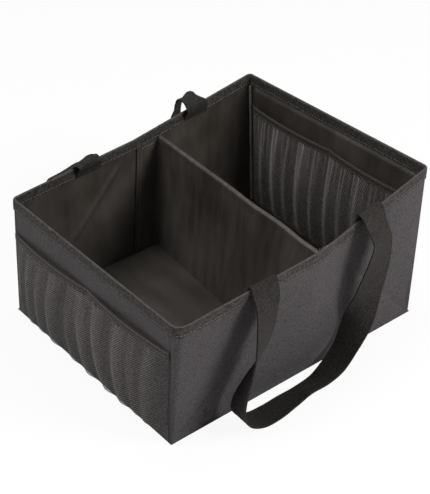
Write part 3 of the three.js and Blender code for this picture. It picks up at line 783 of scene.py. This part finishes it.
tuft = as_threads(thread_curve("lap_thread_ends", [
    thread_end(-0.006, -0.003, 0.005), thread_end(-0.003, -0.001, 0.008),
    thread_end(0.0, 0.002, 0.0065), thread_end(0.004, 0.005, 0.004),
]), 0.00035, 1)
bpy.ops.object.shade_smooth()
paint(tuft, "hem_cloth", thread)


# Divider
# A stiff board stands in a folded sleeve of coated cloth. The ends of the cloth turn into
# flanges that are sewn flat to both long walls, to the left of the board.
OUTWARD = {"front": -1, "back": 1}
DIVIDER_FOOT = {"back": 0.023, "front": 0.003}
DIVIDER_TOP = {"back": 0.030, "front": 0.021}
DIVIDER_DROP = {"back": 0.013, "front": 0.012}
DIVIDER_END = CANVAS + CLEARANCE + HEM_CLOTH + 2 * CLEARANCE
DIVIDER_LENGTH = 2 * HALF_WIDTH - 2 * DIVIDER_END
DIVIDER_SWELL = 0.0011
SLEEVE_RADIUS = 0.0012 + CLEARANCE + FACING
SLEEVE_CUT = (0.348, 0.31)
SLEEVE_ROWS = 110
SLEEVE_LEG = 40
SLEEVE_CROWN = 12
SLEEVE_COLUMNS = 2 * SLEEVE_LEG + SLEEVE_CROWN
FLANGE_CUT = (0.049, 0.17)
FLANGE_WIDTH = 0.033
FLANGE_OVERLAP = 0.012
FLANGE_BEND = 0.0022
FLANGE_THICKNESS = 0.0011
FLANGE_MIDDLE = CANVAS + 0.0006 + FLANGE_THICKNESS / 2
BEND_START = 0.24
BEND_END = 0.34


def long_wall_at(side, x, height, inset):
    """The point of a long wall at a given x and height, found by halving."""
    low, high = 0.0, 1.0
    for step in range(22):
        u = (low + high) / 2
        point = shell(side, u, level_at(side, u, height), inset)
        if (x - point.x) * OUTWARD[side] < 0:
            low = u
        else:
            high = u
    return point


def rim_height_at(side, x):
    middle = rim[side]
    end = rim[side + ("_right" if x >= middle.x else "_left")]
    return mix(middle.z, end.z, (x - middle.x) / (end.x - middle.x))


def divider_height(side):
    return rim_height_at(side, DIVIDER_TOP[side]) - DIVIDER_DROP[side]


SHOULDER = 1 - SLEEVE_RADIUS / (divider_height("back") - ON_FLOOR)


@lru_cache(maxsize=None)
def divider_end(side, rise):
    height = mix(ON_FLOOR, divider_height(side), rise)
    x = mix(DIVIDER_FOOT[side], DIVIDER_TOP[side], rise)
    return long_wall_at(side, x, height, DIVIDER_END)


def divider_point(share, rise):
    """A point of the divider's middle plane: share from back to front, rise from 0 to 1."""
    point = divider_end("back", rise).lerp(divider_end("front", rise), share)
    swell = smooth(share * 1.6 - 0.3) * smooth((1 - share) * 8)
    point.x += DIVIDER_SWELL * math.sin(share * 6 * math.pi) * swell * rise
    return point


def sleeve_point(u, v):
    share = 1 - v
    line = u * SLEEVE_COLUMNS
    turn = math.pi * min(1.0, max(0.0, (line - SLEEVE_LEG) / SLEEVE_CROWN))
    leg = min(1.0, line / SLEEVE_LEG, (SLEEVE_COLUMNS - line) / SLEEVE_LEG)
    point = divider_point(share, round(leg * SHOULDER, 6))
    point.z += SLEEVE_RADIUS * math.sin(turn)
    outward = -math.cos(turn)
    front = smooth(share * 2 - 0.7)
    folds = math.sin(share * 75 + 1.5 * math.sin(leg * 2.4) + 0.6 * waves((share, leg, 0.0), 0.2))
    loose = (0.0002 + 0.0014 * front * smooth((1 - share) * 14)) * (0.5 + 0.5 * folds)
    loose *= smooth(leg * 5) * smooth((1.02 - leg) * 5)
    loose += 0.0008 * dent(1 - leg, 0.03)
    loose += 0.0007 * dent((share - 0.965) * DIVIDER_LENGTH, 0.004) * leg
    point.x += outward * (SLEEVE_RADIUS + loose)
    return point


def on_sleeve(side, distance, height):
    share = (distance + FLANGE_MIDDLE - DIVIDER_END) / DIVIDER_LENGTH
    rise = (height - ON_FLOOR) / (divider_height(side) - ON_FLOOR)
    point = divider_point(share if side == "back" else 1 - share, round(rise, 6))
    point.x -= SLEEVE_RADIUS - FACING / 2 + FLANGE_THICKNESS - FACING
    point.z = height
    return point


def flange_point(side, u, v):
    """One end of the sleeve's cloth: on the sleeve, round the bend, then along the wall."""
    away = FLANGE_WIDTH * max(0.0, u - BEND_END) / (1 - BEND_END)
    top = rim_height_at(side, DIVIDER_TOP[side] - away) - HEM_DEPTH - 2 * CLEARANCE
    height = mix(ON_FLOOR, top, v)
    if u < BEND_START:
        return on_sleeve(side, mix(FLANGE_OVERLAP, FLANGE_BEND, u / BEND_START), height)
    start = on_sleeve(side, FLANGE_BEND, height)
    start.x -= FLANGE_BEND
    if u < BEND_END:
        turn = math.pi / 2 * (u - BEND_START) / (BEND_END - BEND_START)
        start.x += FLANGE_BEND * math.cos(turn)
        start.y += OUTWARD[side] * FLANGE_BEND * math.sin(turn)
        return start
    soft = 0.0003 * dent(away - FLANGE_WIDTH + 0.004, 0.0016)
    return long_wall_at(side, start.x - away, height, FLANGE_MIDDLE - soft)


def flange_line(side, points):
    """Places on a flange's face, given as distance to the left of the bend and height."""
    line = []
    for away, height in points:
        x = mix(DIVIDER_FOOT[side], DIVIDER_TOP[side], height / divider_height(side)) - 0.006
        face = FLANGE_MIDDLE + FLANGE_THICKNESS / 2 + 0.0002
        line.append(long_wall_at(side, x - away, height, face))
    return line


# The divider has its own copy of the coated cloth, lighter and with upright bands, as a painted
# sheen on its face.
sleeve_cloth = coated_cloth("coated divider cloth", (0.080, 0.071, 0.064), 12, 75)
sleeve = new_sheet("divider_sleeve", "coated_cloth", [sleeve_cloth],
                   (SLEEVE_COLUMNS, SLEEVE_ROWS), SLEEVE_CUT, FACING, sleeve_point)
for side in ("back", "front"):
    flange = new_sheet("divider_flange_" + side, "coated_cloth", [inside_cloth], (50, 60),
                       FLANGE_CUT, FLANGE_THICKNESS, partial(flange_point, side), offset=0.0)
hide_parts("divider_cover")
paint(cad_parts["divider_board"], "board", board_stock)

flange_top = rim_height_at("back", 0.008) - HEM_DEPTH
across_top = [(0.003 + 0.0012 * step, flange_top - 0.0035) for step in range(19)]
down_side = [(0.0245, 0.012 + 0.004 * step) for step in range(39)]
stitch_row("flange_stitches_across", flange_line("back", across_top))
stitch_row("flange_stitches_down", flange_line("back", down_side))


# Netting pockets
# Gathered knitted netting hangs from a covered elastic outside the left end and inside the
# right end. The elastic is tacked down in the middle, so each pocket has two mouths.
NET_EDGE = 0.001
NET_THICKNESS = 0.001
NET_ACROSS = 0.0033
NET_UP = 0.0039
NET_TALL = 0.140
NET_STRANDS = ((1, 0.0005), (-1, 0.00018))
ELASTIC_HEIGHT = 0.01
ELASTIC_THICKNESS = 0.0016
ELASTIC_SEAMS = (0.86, 0.16)
FOLD_GAIN = 1.35
# Each gather is its place at the elastic and at the foot, its height and its half width.
# Painted light of the netting: painted shade at its foot and between its folds, and a painted
# highlight on the folds' crests, widening (fan) and varying (uneven) with the folds.
outer_pocket = {
    "side": "left", "inside": False, "drop": (0.0495, 0.041), "stand": 0.0054,
    "belly": 0.009, "sag": 0.0015, "seam": 0.0008, "lift": 0.0015,
    "painted_shade_at_foot": 0.8, "painted_shade_between_folds": 0.08, "painted_highlight_on_folds": 0.6, "fan": 1.2, "uneven": 1,
    "gathers": [
        (0.06, 0.05, 0.0026, 0.022), (0.13, 0.12, 0.0034, 0.024), (0.21, 0.19, 0.0028, 0.026),
        (0.30, 0.28, 0.0036, 0.030), (0.41, 0.42, 0.0026, 0.026), (0.47, 0.53, 0.0042, 0.030),
        (0.57, 0.65, 0.0048, 0.030), (0.72, 0.74, 0.0044, 0.030), (0.81, 0.82, 0.0024, 0.026),
        (0.90, 0.88, 0.0030, 0.026),
    ],
}
inner_pocket = {
    "side": "right", "inside": True, "drop": (0.048, 0.043), "stand": 0.0054,
    "belly": 0.008, "sag": 0.0, "seam": 0.0, "lift": 0.005,
    "painted_shade_at_foot": 0.35, "painted_shade_between_folds": 0.12, "painted_highlight_on_folds": 1.1, "fan": 1.4, "uneven": 3,
    "gathers": [
        (0.05, 0.04, 0.0026, 0.022), (0.12, 0.10, 0.0032, 0.022), (0.20, 0.19, 0.0026, 0.022),
        (0.29, 0.27, 0.0034, 0.026), (0.38, 0.37, 0.0028, 0.024), (0.46, 0.46, 0.0034, 0.024),
        (0.55, 0.56, 0.0030, 0.022), (0.63, 0.65, 0.0038, 0.026), (0.72, 0.74, 0.0026, 0.024),
        (0.80, 0.82, 0.0036, 0.026), (0.89, 0.91, 0.0028, 0.024),
    ],
}


def elastic_stand(u, stand):
    bow = abs(math.sin(2 * math.pi * u)) ** 0.8
    return CLEARANCE + ELASTIC_THICKNESS / 2 + stand * bow


def net_stand(u, v, pocket):
    """How far the netting stands off its backing: v is 0 at the foot and 1 at the elastic."""
    seam = min(1.0, u / 0.05, (1 - u) / 0.05)
    profile = math.sin(math.pi * mix(0.06, 1, v))
    belly = pocket["belly"] * max(0.0, math.sin(math.pi * u)) ** 0.5 * profile
    fold = 0.0
    for top, low, rise, half_width in pocket["gathers"]:
        away = (u - mix(low, top, v)) / half_width
        fold += rise * math.exp(-away * away)
    fold *= mix(0.55, 1, smooth(v * 3)) * mix(1, 0.5, v ** 4)
    fold *= mix(FOLD_GAIN, 1, smooth(v * 3 - 2))
    pleats = 0.0009 * math.sin(u * 210 + 3 * waves((u, 0.0, 0.0), 0.1, 5)) * smooth(v * 2.2 - 1.1)
    sag = pocket["sag"] * min(1.0, v / 0.03) * smooth(1 - v / 0.5)
    least = 2 * CLEARANCE + NET_THICKNESS / 2
    edge = least + pocket["seam"] * (1 - seam) * math.sin(math.pi * v)
    hung = mix(edge, elastic_stand(u, pocket["stand"]), smooth(v * 1.1))
    sewn_down = mix(0.1, 1, smooth(v / 0.06))
    return max(least, hung + (belly + fold + pleats + sag) * seam * sewn_down)


def pocket_point(pocket, u, level, stand):
    side = pocket["side"]
    if not pocket["inside"]:
        return shell(side, u, level, -stand, NET_EDGE)
    drop = (1 - level) * (rim_height(side, u) - FOOT_LEVEL)
    edge = NET_EDGE + min(u, 1 - u) * end_span(side)
    inset = lining_inset(edge, drop) + FACING + stand
    return shell(side, u, level, inset, LINING_MARGIN + NET_EDGE)


def net_point(pocket, u, v):
    side = pocket["side"]
    drop = mix(*pocket["drop"], u) + ELASTIC_HEIGHT
    high = level_below(side, u, drop)
    low = level_at(side, u, FOOT_LEVEL + pocket["lift"])
    return pocket_point(pocket, u, mix(low, high, v), net_stand(u, v, pocket))


def painted_fold_light_at(pocket, point):
    """Painted light on the netting at a point: lighter on fold crests, partly for netting lying
    double there and partly as a painted highlight, and painted shade between folds and towards
    the foot.
    """
    side = pocket["side"]
    level = level_at(side, 0.5, point.z)
    start = shell(side, 0, level, 0, NET_EDGE)
    run = shell(side, 1, level, 0, NET_EDGE) - start
    u = min(1.0, max(0.0, (point - start).dot(run) / run.length_squared))
    low = FOOT_LEVEL + pocket["lift"]
    high = rim_height(side, round(u, 3)) - mix(*pocket["drop"], u) - ELASTIC_HEIGHT
    v = (point.z - low) / (high - low)
    crest_light = 0.0
    for top, bottom, rise, half_width in pocket["gathers"]:
        away = (u - mix(bottom, top, v)) / half_width / mix(0.9, pocket["fan"], smooth(v))
        crest_light += (rise / 0.0042) ** pocket["uneven"] * math.exp(-away * away)
    crest_light = mix(pocket["painted_shade_between_folds"], pocket["painted_highlight_on_folds"], min(1.0, crest_light))
    return crest_light * mix(pocket["painted_shade_at_foot"], 1, smooth(v * 1.6 - 0.5))


def delete_chosen(kind, elements, chosen):
    """Deletes those edges or vertices of the active mesh for which chosen is true."""
    bpy.ops.object.mode_set(mode="EDIT")
    bpy.ops.mesh.select_mode(type=kind)
    bpy.ops.mesh.select_all(action="DESELECT")
    bpy.ops.object.mode_set(mode="OBJECT")
    for element, choice in zip(elements, chosen):
        element.select = choice
    bpy.ops.object.mode_set(mode="EDIT")
    bpy.ops.mesh.delete(type=kind)
    bpy.ops.object.mode_set(mode="OBJECT")


def strand_family(pocket, lean, radius):
    """Strands side by side from foot to elastic, all slanting the same way."""
    span = end_span(pocket["side"])
    reach = NET_TALL * NET_ACROSS / NET_UP
    strands = int((span + reach) / NET_ACROSS)
    steps = int(NET_TALL / NET_UP)
    bpy.ops.mesh.primitive_grid_add(x_subdivisions=strands, y_subdivisions=steps, size=1)
    mesh = bpy.context.object.data
    spots = []
    for vertex in mesh.vertices:
        strand_share, rise = vertex.co.x + 0.5, vertex.co.y + 0.5
        slant = reach * (1 - rise) if lean > 0 else reach * rise
        spots.append(((strand_share * (span + reach) - slant) / span, rise))
    heights = [[mesh.vertices[i].co.y for i in edge.vertices] for edge in mesh.edges]
    delete_chosen("EDGE", mesh.edges, [abs(a - b) < 1e-6 for a, b in heights])
    for vertex, (u, v) in zip(mesh.vertices, spots):
        vertex.co = net_point(pocket, min(1.0, max(0.0, u)), v)
    delete_chosen("VERT", mesh.vertices, [u < -0.002 or u > 1.002 for u, v in spots])
    bpy.ops.object.convert(target="CURVE")
    return as_threads(bpy.context.object, radius, 0)


# The netting's colour carries painted light: a painted highlight on its fold crests and painted
# shade between the folds and towards the foot, read from a point attribute, over random patches.
net_knit, tree = new_look("knitted netting")
painted_fold_light = tree.nodes.new("ShaderNodeAttribute")
painted_fold_light.attribute_name = "painted_fold_light"
tone = maths(tree, "MULTIPLY_ADD", painted_fold_light.outputs["Fac"], 0.8, mottle(tree, 380, 2))
tone = spread(tree, tone, 0.3, 1.35)
finish_look(tree, {
    "Base Color": shades(tree, tone, (0.014, 0.012, 0.0115), (0.33, 0.295, 0.295)),
    "Roughness": 0.75, "Specular IOR Level": 0.3, "Sheen Weight": 0.03,
})
# Just under its top edge the elastic gets a painted highlight.
elastic_cloth = woven_cloth("covered elastic", (0.014, 0.012, 0.010), (0.058, 0.050, 0.044),
                            0.0007, 450, 0.0003, 0.0092)


def netting(name, pocket):
    """Two families of strands that cross on the slant, one thick and one thin."""
    thick, thin = (strand_family(pocket, lean, radius) for lean, radius in NET_STRANDS)
    select_only(thick)
    thin.select_set(True)
    bpy.ops.object.join()
    net = named(name)
    bpy.ops.object.shade_smooth()
    # Each point stores the painted light and shade of the folds there.
    shade = net.data.attributes.new("painted_fold_light", "FLOAT", "POINT")
    for vertex, spot in zip(net.data.vertices, shade.data):
        spot.value = painted_fold_light_at(pocket, vertex.co)
    paint(net, "netting", net_knit)
    return net


def elastic_point(pocket, u, rise, stand):
    """A point of the elastic: rise from 0 to 1 up it, and stand off its middle face."""
    drop = mix(*pocket["drop"], u) + ELASTIC_HEIGHT * (1 - rise)
    stand += elastic_stand(u, pocket["stand"])
    return pocket_point(pocket, u, level_below(pocket["side"], u, drop), stand)


def band_point(pocket, u, v):
    along = crowd(u, 150, 8, 0.02)
    stand = 0.00015 * math.sin(along * 520) * smooth(min(v, 1 - v) * 4)
    for seam in ELASTIC_SEAMS:
        stand -= 0.00025 * dent((v - seam) * ELASTIC_HEIGHT, 0.0008)
    return elastic_point(pocket, along, v, stand)


for prefix, pocket in (("outer", outer_pocket), ("inner", inner_pocket)):
    net = netting(prefix + "_netting", pocket)
    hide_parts(prefix + "_pocket_net")
    band = new_sheet(prefix + "_elastic_band", "elastic", [elastic_cloth], (150, 14),
                     (0.3, ELASTIC_HEIGHT), ELASTIC_THICKNESS, partial(band_point, pocket),
                     offset=0.0, inside_out=pocket["inside"])
    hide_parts(prefix + "_pocket_elastic")
    for edge, rise in zip(("top", "foot"), ELASTIC_SEAMS):
        face = ELASTIC_THICKNESS / 2 - STITCH_SINK
        line = [elastic_point(pocket, step / 120, rise, face) for step in range(121)]
        stitch_row(prefix + "_elastic_stitches_" + edge, line)


# Webbing handles
# One strap of ribbed webbing on each long wall. Its ends are sewn inside the hem, it passes
# over the rim, hangs down, turns on edge and lies flat on the ground in front of the wall.
STRAP_WIDTH = 0.037
STRAP_THICKNESS = 0.0018
STRAP_CUT = (STRAP_WIDTH, 0.62)
handle_feet = {
    "front": {"left": -0.074, "right": 0.094},
    "back": {"left": -0.084, "right": 0.091},
}
# A station is its offset from the foot along x, its distance out, its height, and the turn
# and tip of the strap's width in degrees. Over the rim, height is counted from the rim.
over_rim = {
    "front_left": [
        (0, -0.0035, -0.0016, 0, 0), (0, -0.0019, 0.0025, 0, -1.3), (0, 0.0014, 0.0027, 0, -1.5),
        (0, 0.0034, -0.0005, -1, -1.5), (0, 0.0066, -0.0074, -2, -1),
    ],
    "front_right": [
        (0, -0.0035, -0.0016, 0, 0), (0, -0.0019, 0.0071, 0, -5), (0, 0.0014, 0.0082, 0, -6),
        (0, 0.0072, 0.005, -4, -6), (0, 0.0148, -0.0052, -9, -2.5),
    ],
    "back_left": [
        (-0.0004, -0.0052, -0.0026, 6, -1), (-0.0014, -0.0038, 0.0026, 14, -4),
        (-0.0035, 0.0015, 0.0026, 17, -4), (-0.0064, 0.007, -0.0016, 17, 1),
        (-0.0104, 0.012, -0.0086, 14, 6), (-0.0145, 0.0185, -0.016, 14, 6),
    ],
    "back_right": [
        (-0.0003, -0.0066, -0.0026, 9, -1), (-0.001, -0.006, 0.0035, 13, -4.5),
        (-0.0024, -0.0005, 0.0074, 21, -13), (-0.004, 0.0055, 0.0098, 25, -19),
        (-0.0057, 0.0115, 0.0096, 28, -20), (-0.0076, 0.0165, 0.005, 30, -16),
        (-0.0092, 0.021, -0.0052, 32, -12), (-0.0108, 0.0255, -0.017, 31, -10),
    ],
}
# In the legs, height is a share of the rim's.
legs = {
    "front_left": [
        (-0.005, 0.032, 0.874, 10, -12), (-0.011, 0.0368, 0.741, 18, -14),
        (-0.0176, 0.0382, 0.607, 30, -13), (-0.0264, 0.0363, 0.478, 44, -10),
        (-0.036, 0.0333, 0.348, 57, -5), (-0.043, 0.0316, 0.22, 72, -1),
    ],
    "front_right": [
        (-0.024, 0.0222, 0.258, 108, 1), (-0.0148, 0.0226, 0.362, 144, 13),
        (-0.0096, 0.0259, 0.484, 165, 12), (-0.005, 0.0293, 0.611, 173, 11),
        (-0.0004, 0.0317, 0.739, 182, 9), (0.0034, 0.0305, 0.865, 192, 9),
    ],
    "back_left": [
        (-0.0185, 0.0275, 0.85, -6, 1), (-0.0215, 0.033, 0.725, 7, -6),
        (-0.025, 0.0353, 0.6, 24, -9), (-0.0305, 0.0345, 0.47, 40, -7),
        (-0.0368, 0.0326, 0.345, 56, -3), (-0.043, 0.0316, 0.22, 72, -1),
    ],
    "back_right": [
        (-0.0245, 0.0228, 0.258, 108, 1), (-0.0195, 0.0262, 0.39, 126, 7),
        (-0.0158, 0.0292, 0.52, 140, 9), (-0.0135, 0.0308, 0.65, 147, 9),
        (-0.0118, 0.0298, 0.78, 150, 8),
    ],
}
# On the ground, x is the front strap's and height is in metres.
ground_run = [
    (-0.114, 0.0317, 0.0207, 87, -3), (-0.0956, 0.0332, 0.0076, 91, -8),
    (-0.0708, 0.0333, 0.0049, 91, -11), (-0.0447, 0.0325, 0.0069, 90, -17),
    (-0.0184, 0.032, 0.0093, 89, -25), (0.0078, 0.0319, 0.0112, 89, -21),
    (0.0323, 0.0294, 0.0192, 92, -12), (0.0539, 0.0255, 0.0337, 94, -10),
]


def turned_across(side, turn, tip):
    """The strap's direction across, turned from +X away from the wall and tipped up."""
    yaw, pitch = math.radians(turn), math.radians(tip)
    return Vector((math.cos(pitch) * math.cos(yaw),
                   OUTWARD[side] * math.cos(pitch) * math.sin(yaw), math.sin(pitch)))


def arching(side, end):
    """From the hem's inner flap, where the strap is sewn, up and over the rim."""
    out = OUTWARD[side]
    middle = handle_feet[side][end]
    ends = (middle - STRAP_WIDTH / 2, middle + STRAP_WIDTH / 2)
    rim_z = rim_height_at(side, middle)
    rise_across = rim_height_at(side, ends[1]) - rim_height_at(side, ends[0])
    slope = math.degrees(math.atan(rise_across / STRAP_WIDTH))
    sewn = CANVAS + 2 * CLEARANCE + HEM_CLOTH + STRAP_THICKNESS / 2
    climb = [(0, -sewn, 0.001 - HEM_DEPTH, 0, 0), (0, -sewn - CLEARANCE, -HEM_DEPTH / 2, 0, 0)]
    found = []
    for dx, away, rise, turn, tip in climb + over_rim[side + "_" + end]:
        height = rim_z + min(0.0, rise)
        wall = long_wall_at(side, middle + dx, height, 0.0)
        run = long_wall_at(side, ends[1], height, 0.0) - long_wall_at(side, ends[0], height, 0.0)
        heading = math.degrees(math.atan2(out * run.y, run.x))
        direction = turned_across(side, heading + turn, slope + tip)
        place = Vector((middle + dx, wall.y + out * away, rim_z + rise))
        found.append((place, direction if end == "left" else -direction))
    return found


def hanging(side, stations, start, scale):
    """Stations below the rim: x is counted from start and height is multiplied by scale."""
    found = []
    for dx, away, height, turn, tip in stations:
        place = Vector((start + dx, OUTWARD[side] * (HALF_WIDTH + away), height * scale))
        found.append((place, turned_across(side, -turn, tip)))
    return found


def along_spline(points, share):
    """A smooth curve through points, with even tension between near and far ones."""
    place = min(len(points) - 1.000001, max(0.0, share * (len(points) - 1)))
    step = int(place)
    rest = place - step
    b, c = points[step], points[step + 1]
    a = points[step - 1] if step > 0 else b * 2 - c
    d = points[step + 2] if step + 2 < len(points) else c * 2 - b
    first, second, third = (max(1e-5, (q - p).length) ** 0.5 for p, q in ((a, b), (b, c), (c, d)))
    leave = ((b - a) / first - (c - a) / (first + second) + (c - b) / second) * second
    arrive = ((c - b) / second - (d - b) / (second + third) + (d - c) / third) * second
    return (b + leave * rest + (c * 3 - b * 3 - leave * 2 - arrive) * rest ** 2
            + (b * 2 - c * 2 + leave + arrive) * rest ** 3)


strap_weave, tree = new_look("ribbed webbing")
ribs = thread_wave(tree, "X", 0.0024, 0.1)
picks = thread_wave(tree, "Y", 0.0015, 0.1)
slant = thread_wave(tree, "DIAGONAL", 0.0022, 0.2)
knit = maths(tree, "MULTIPLY_ADD", slant, 0.45, maths(tree, "MULTIPLY", ribs, picks))
worn = spread(tree, mottle(tree, 330, 2), 0.3, 0.7)
tone = spread(tree, maths(tree, "ADD", knit, worn), 0.2, 2.1)
finish_look(tree, {
    "Base Color": shades(tree, tone, (0.005, 0.0042, 0.0037), (0.037, 0.031, 0.028)),
    "Normal": raised(tree, knit, 0.0003), "Roughness": 0.8,
    "Specular IOR Level": 0.2, "Sheen Weight": 0.02,
})


def strap_stations(side):
    """Places along the strap and the directions of its width there, from left to right."""
    feet = handle_feet[side]
    shift = feet["left"] - handle_feet["front"]["left"]
    left_rim, right_rim = (rim_height_at(side, feet[end]) for end in ("left", "right"))
    return zip(
        *arching(side, "left"),
        *hanging(side, legs[side + "_left"], feet["left"], left_rim),
        *hanging(side, ground_run, shift, 1),
        *hanging(side, legs[side + "_right"], feet["right"], right_rim),
        *arching(side, "right")[::-1],
    )


def strap_point(places, aims, u, v):
    ahead, behind = along_spline(places, v + 0.0005), along_spline(places, v - 0.0005)
    tangent = (ahead - behind).normalized()
    wide = along_spline(aims, v)
    wide = (wide - tangent * wide.dot(tangent)).normalized()
    normal = wide.cross(tangent).normalized()
    across = 2 * u - 1
    lift = -0.00025 * dent(1 - abs(across), 0.06)
    return along_spline(places, v) + wide * (across * STRAP_WIDTH / 2) + normal * lift


for side in ("front", "back"):
    strap = new_sheet(side + "_webbing_handle", "webbing", [strap_weave], (16, 360), STRAP_CUT,
                      STRAP_THICKNESS, partial(strap_point, *strap_stations(side)), offset=0.0)
    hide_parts(side + "_handle")


# Ground and light
# A white ground and a white surround, with a broad soft lamp on the right of the camera and
# weaker ones high beyond the left end and overhead.
GROUND_LEVEL = -0.0002
GROUND_GLOW = 0.92
SURROUND_LIGHT = 0.3
WHITE = (1, 1, 1, 1)

bpy.ops.mesh.primitive_plane_add(size=12, location=(0, 0, GROUND_LEVEL))
ground = bpy.context.object
ground.name = "ground"
white, tree = new_look("white ground")
finish_look(tree, {"Base Color": (0.8, 0.8, 0.8, 1), "Roughness": 0.9})
glow = add_node(tree, "Emission", {"Color": WHITE})
seen = add_node(tree, "LightPath", {})
veil = add_node(tree, "MixShader", {
    "Fac": maths(tree, "MULTIPLY", seen.outputs["Is Camera Ray"], GROUND_GLOW),
    1: tree.nodes["Principled BSDF"].outputs["BSDF"],
    2: glow.outputs["Emission"],
})
feed(tree, tree.nodes["Material Output"], {"Surface": veil.outputs["Shader"]})
ground.data.materials.append(white)

world = bpy.data.worlds.new("studio")
bpy.context.scene.world = world
world.use_nodes = True
tree = world.node_tree
seen = add_node(tree, "LightPath", {})
strength = add_node(tree, "MapRange", {
    "Value": seen.outputs["Is Camera Ray"], "To Min": SURROUND_LIGHT, "To Max": 1.0,
})
feed(tree, tree.nodes["Background"], {"Color": WHITE, "Strength": strength.outputs["Result"]})


def soft_lamp(name, place, size, power):
    bpy.ops.object.light_add(type="AREA", location=place)
    lamp = bpy.context.object
    lamp.name = name
    lamp.data.shape = "DISK"
    lamp.data.size = size
    lamp.data.energy = power
    lamp.rotation_euler = (Vector(place) - Vector((0, 0, 0.1))).to_track_quat("Z", "Y").to_euler()


soft_lamp("key_lamp", (0.7, -1.3, 1.2), 0.7, 28)
soft_lamp("fill_lamp", (-1.2, 0.3, 1.55), 0.7, 16)
soft_lamp("top_lamp", (0.1, 0.3, 1.9), 1.0, 9)


# Bring every object's placing up to date
bpy.context.view_layer.update()
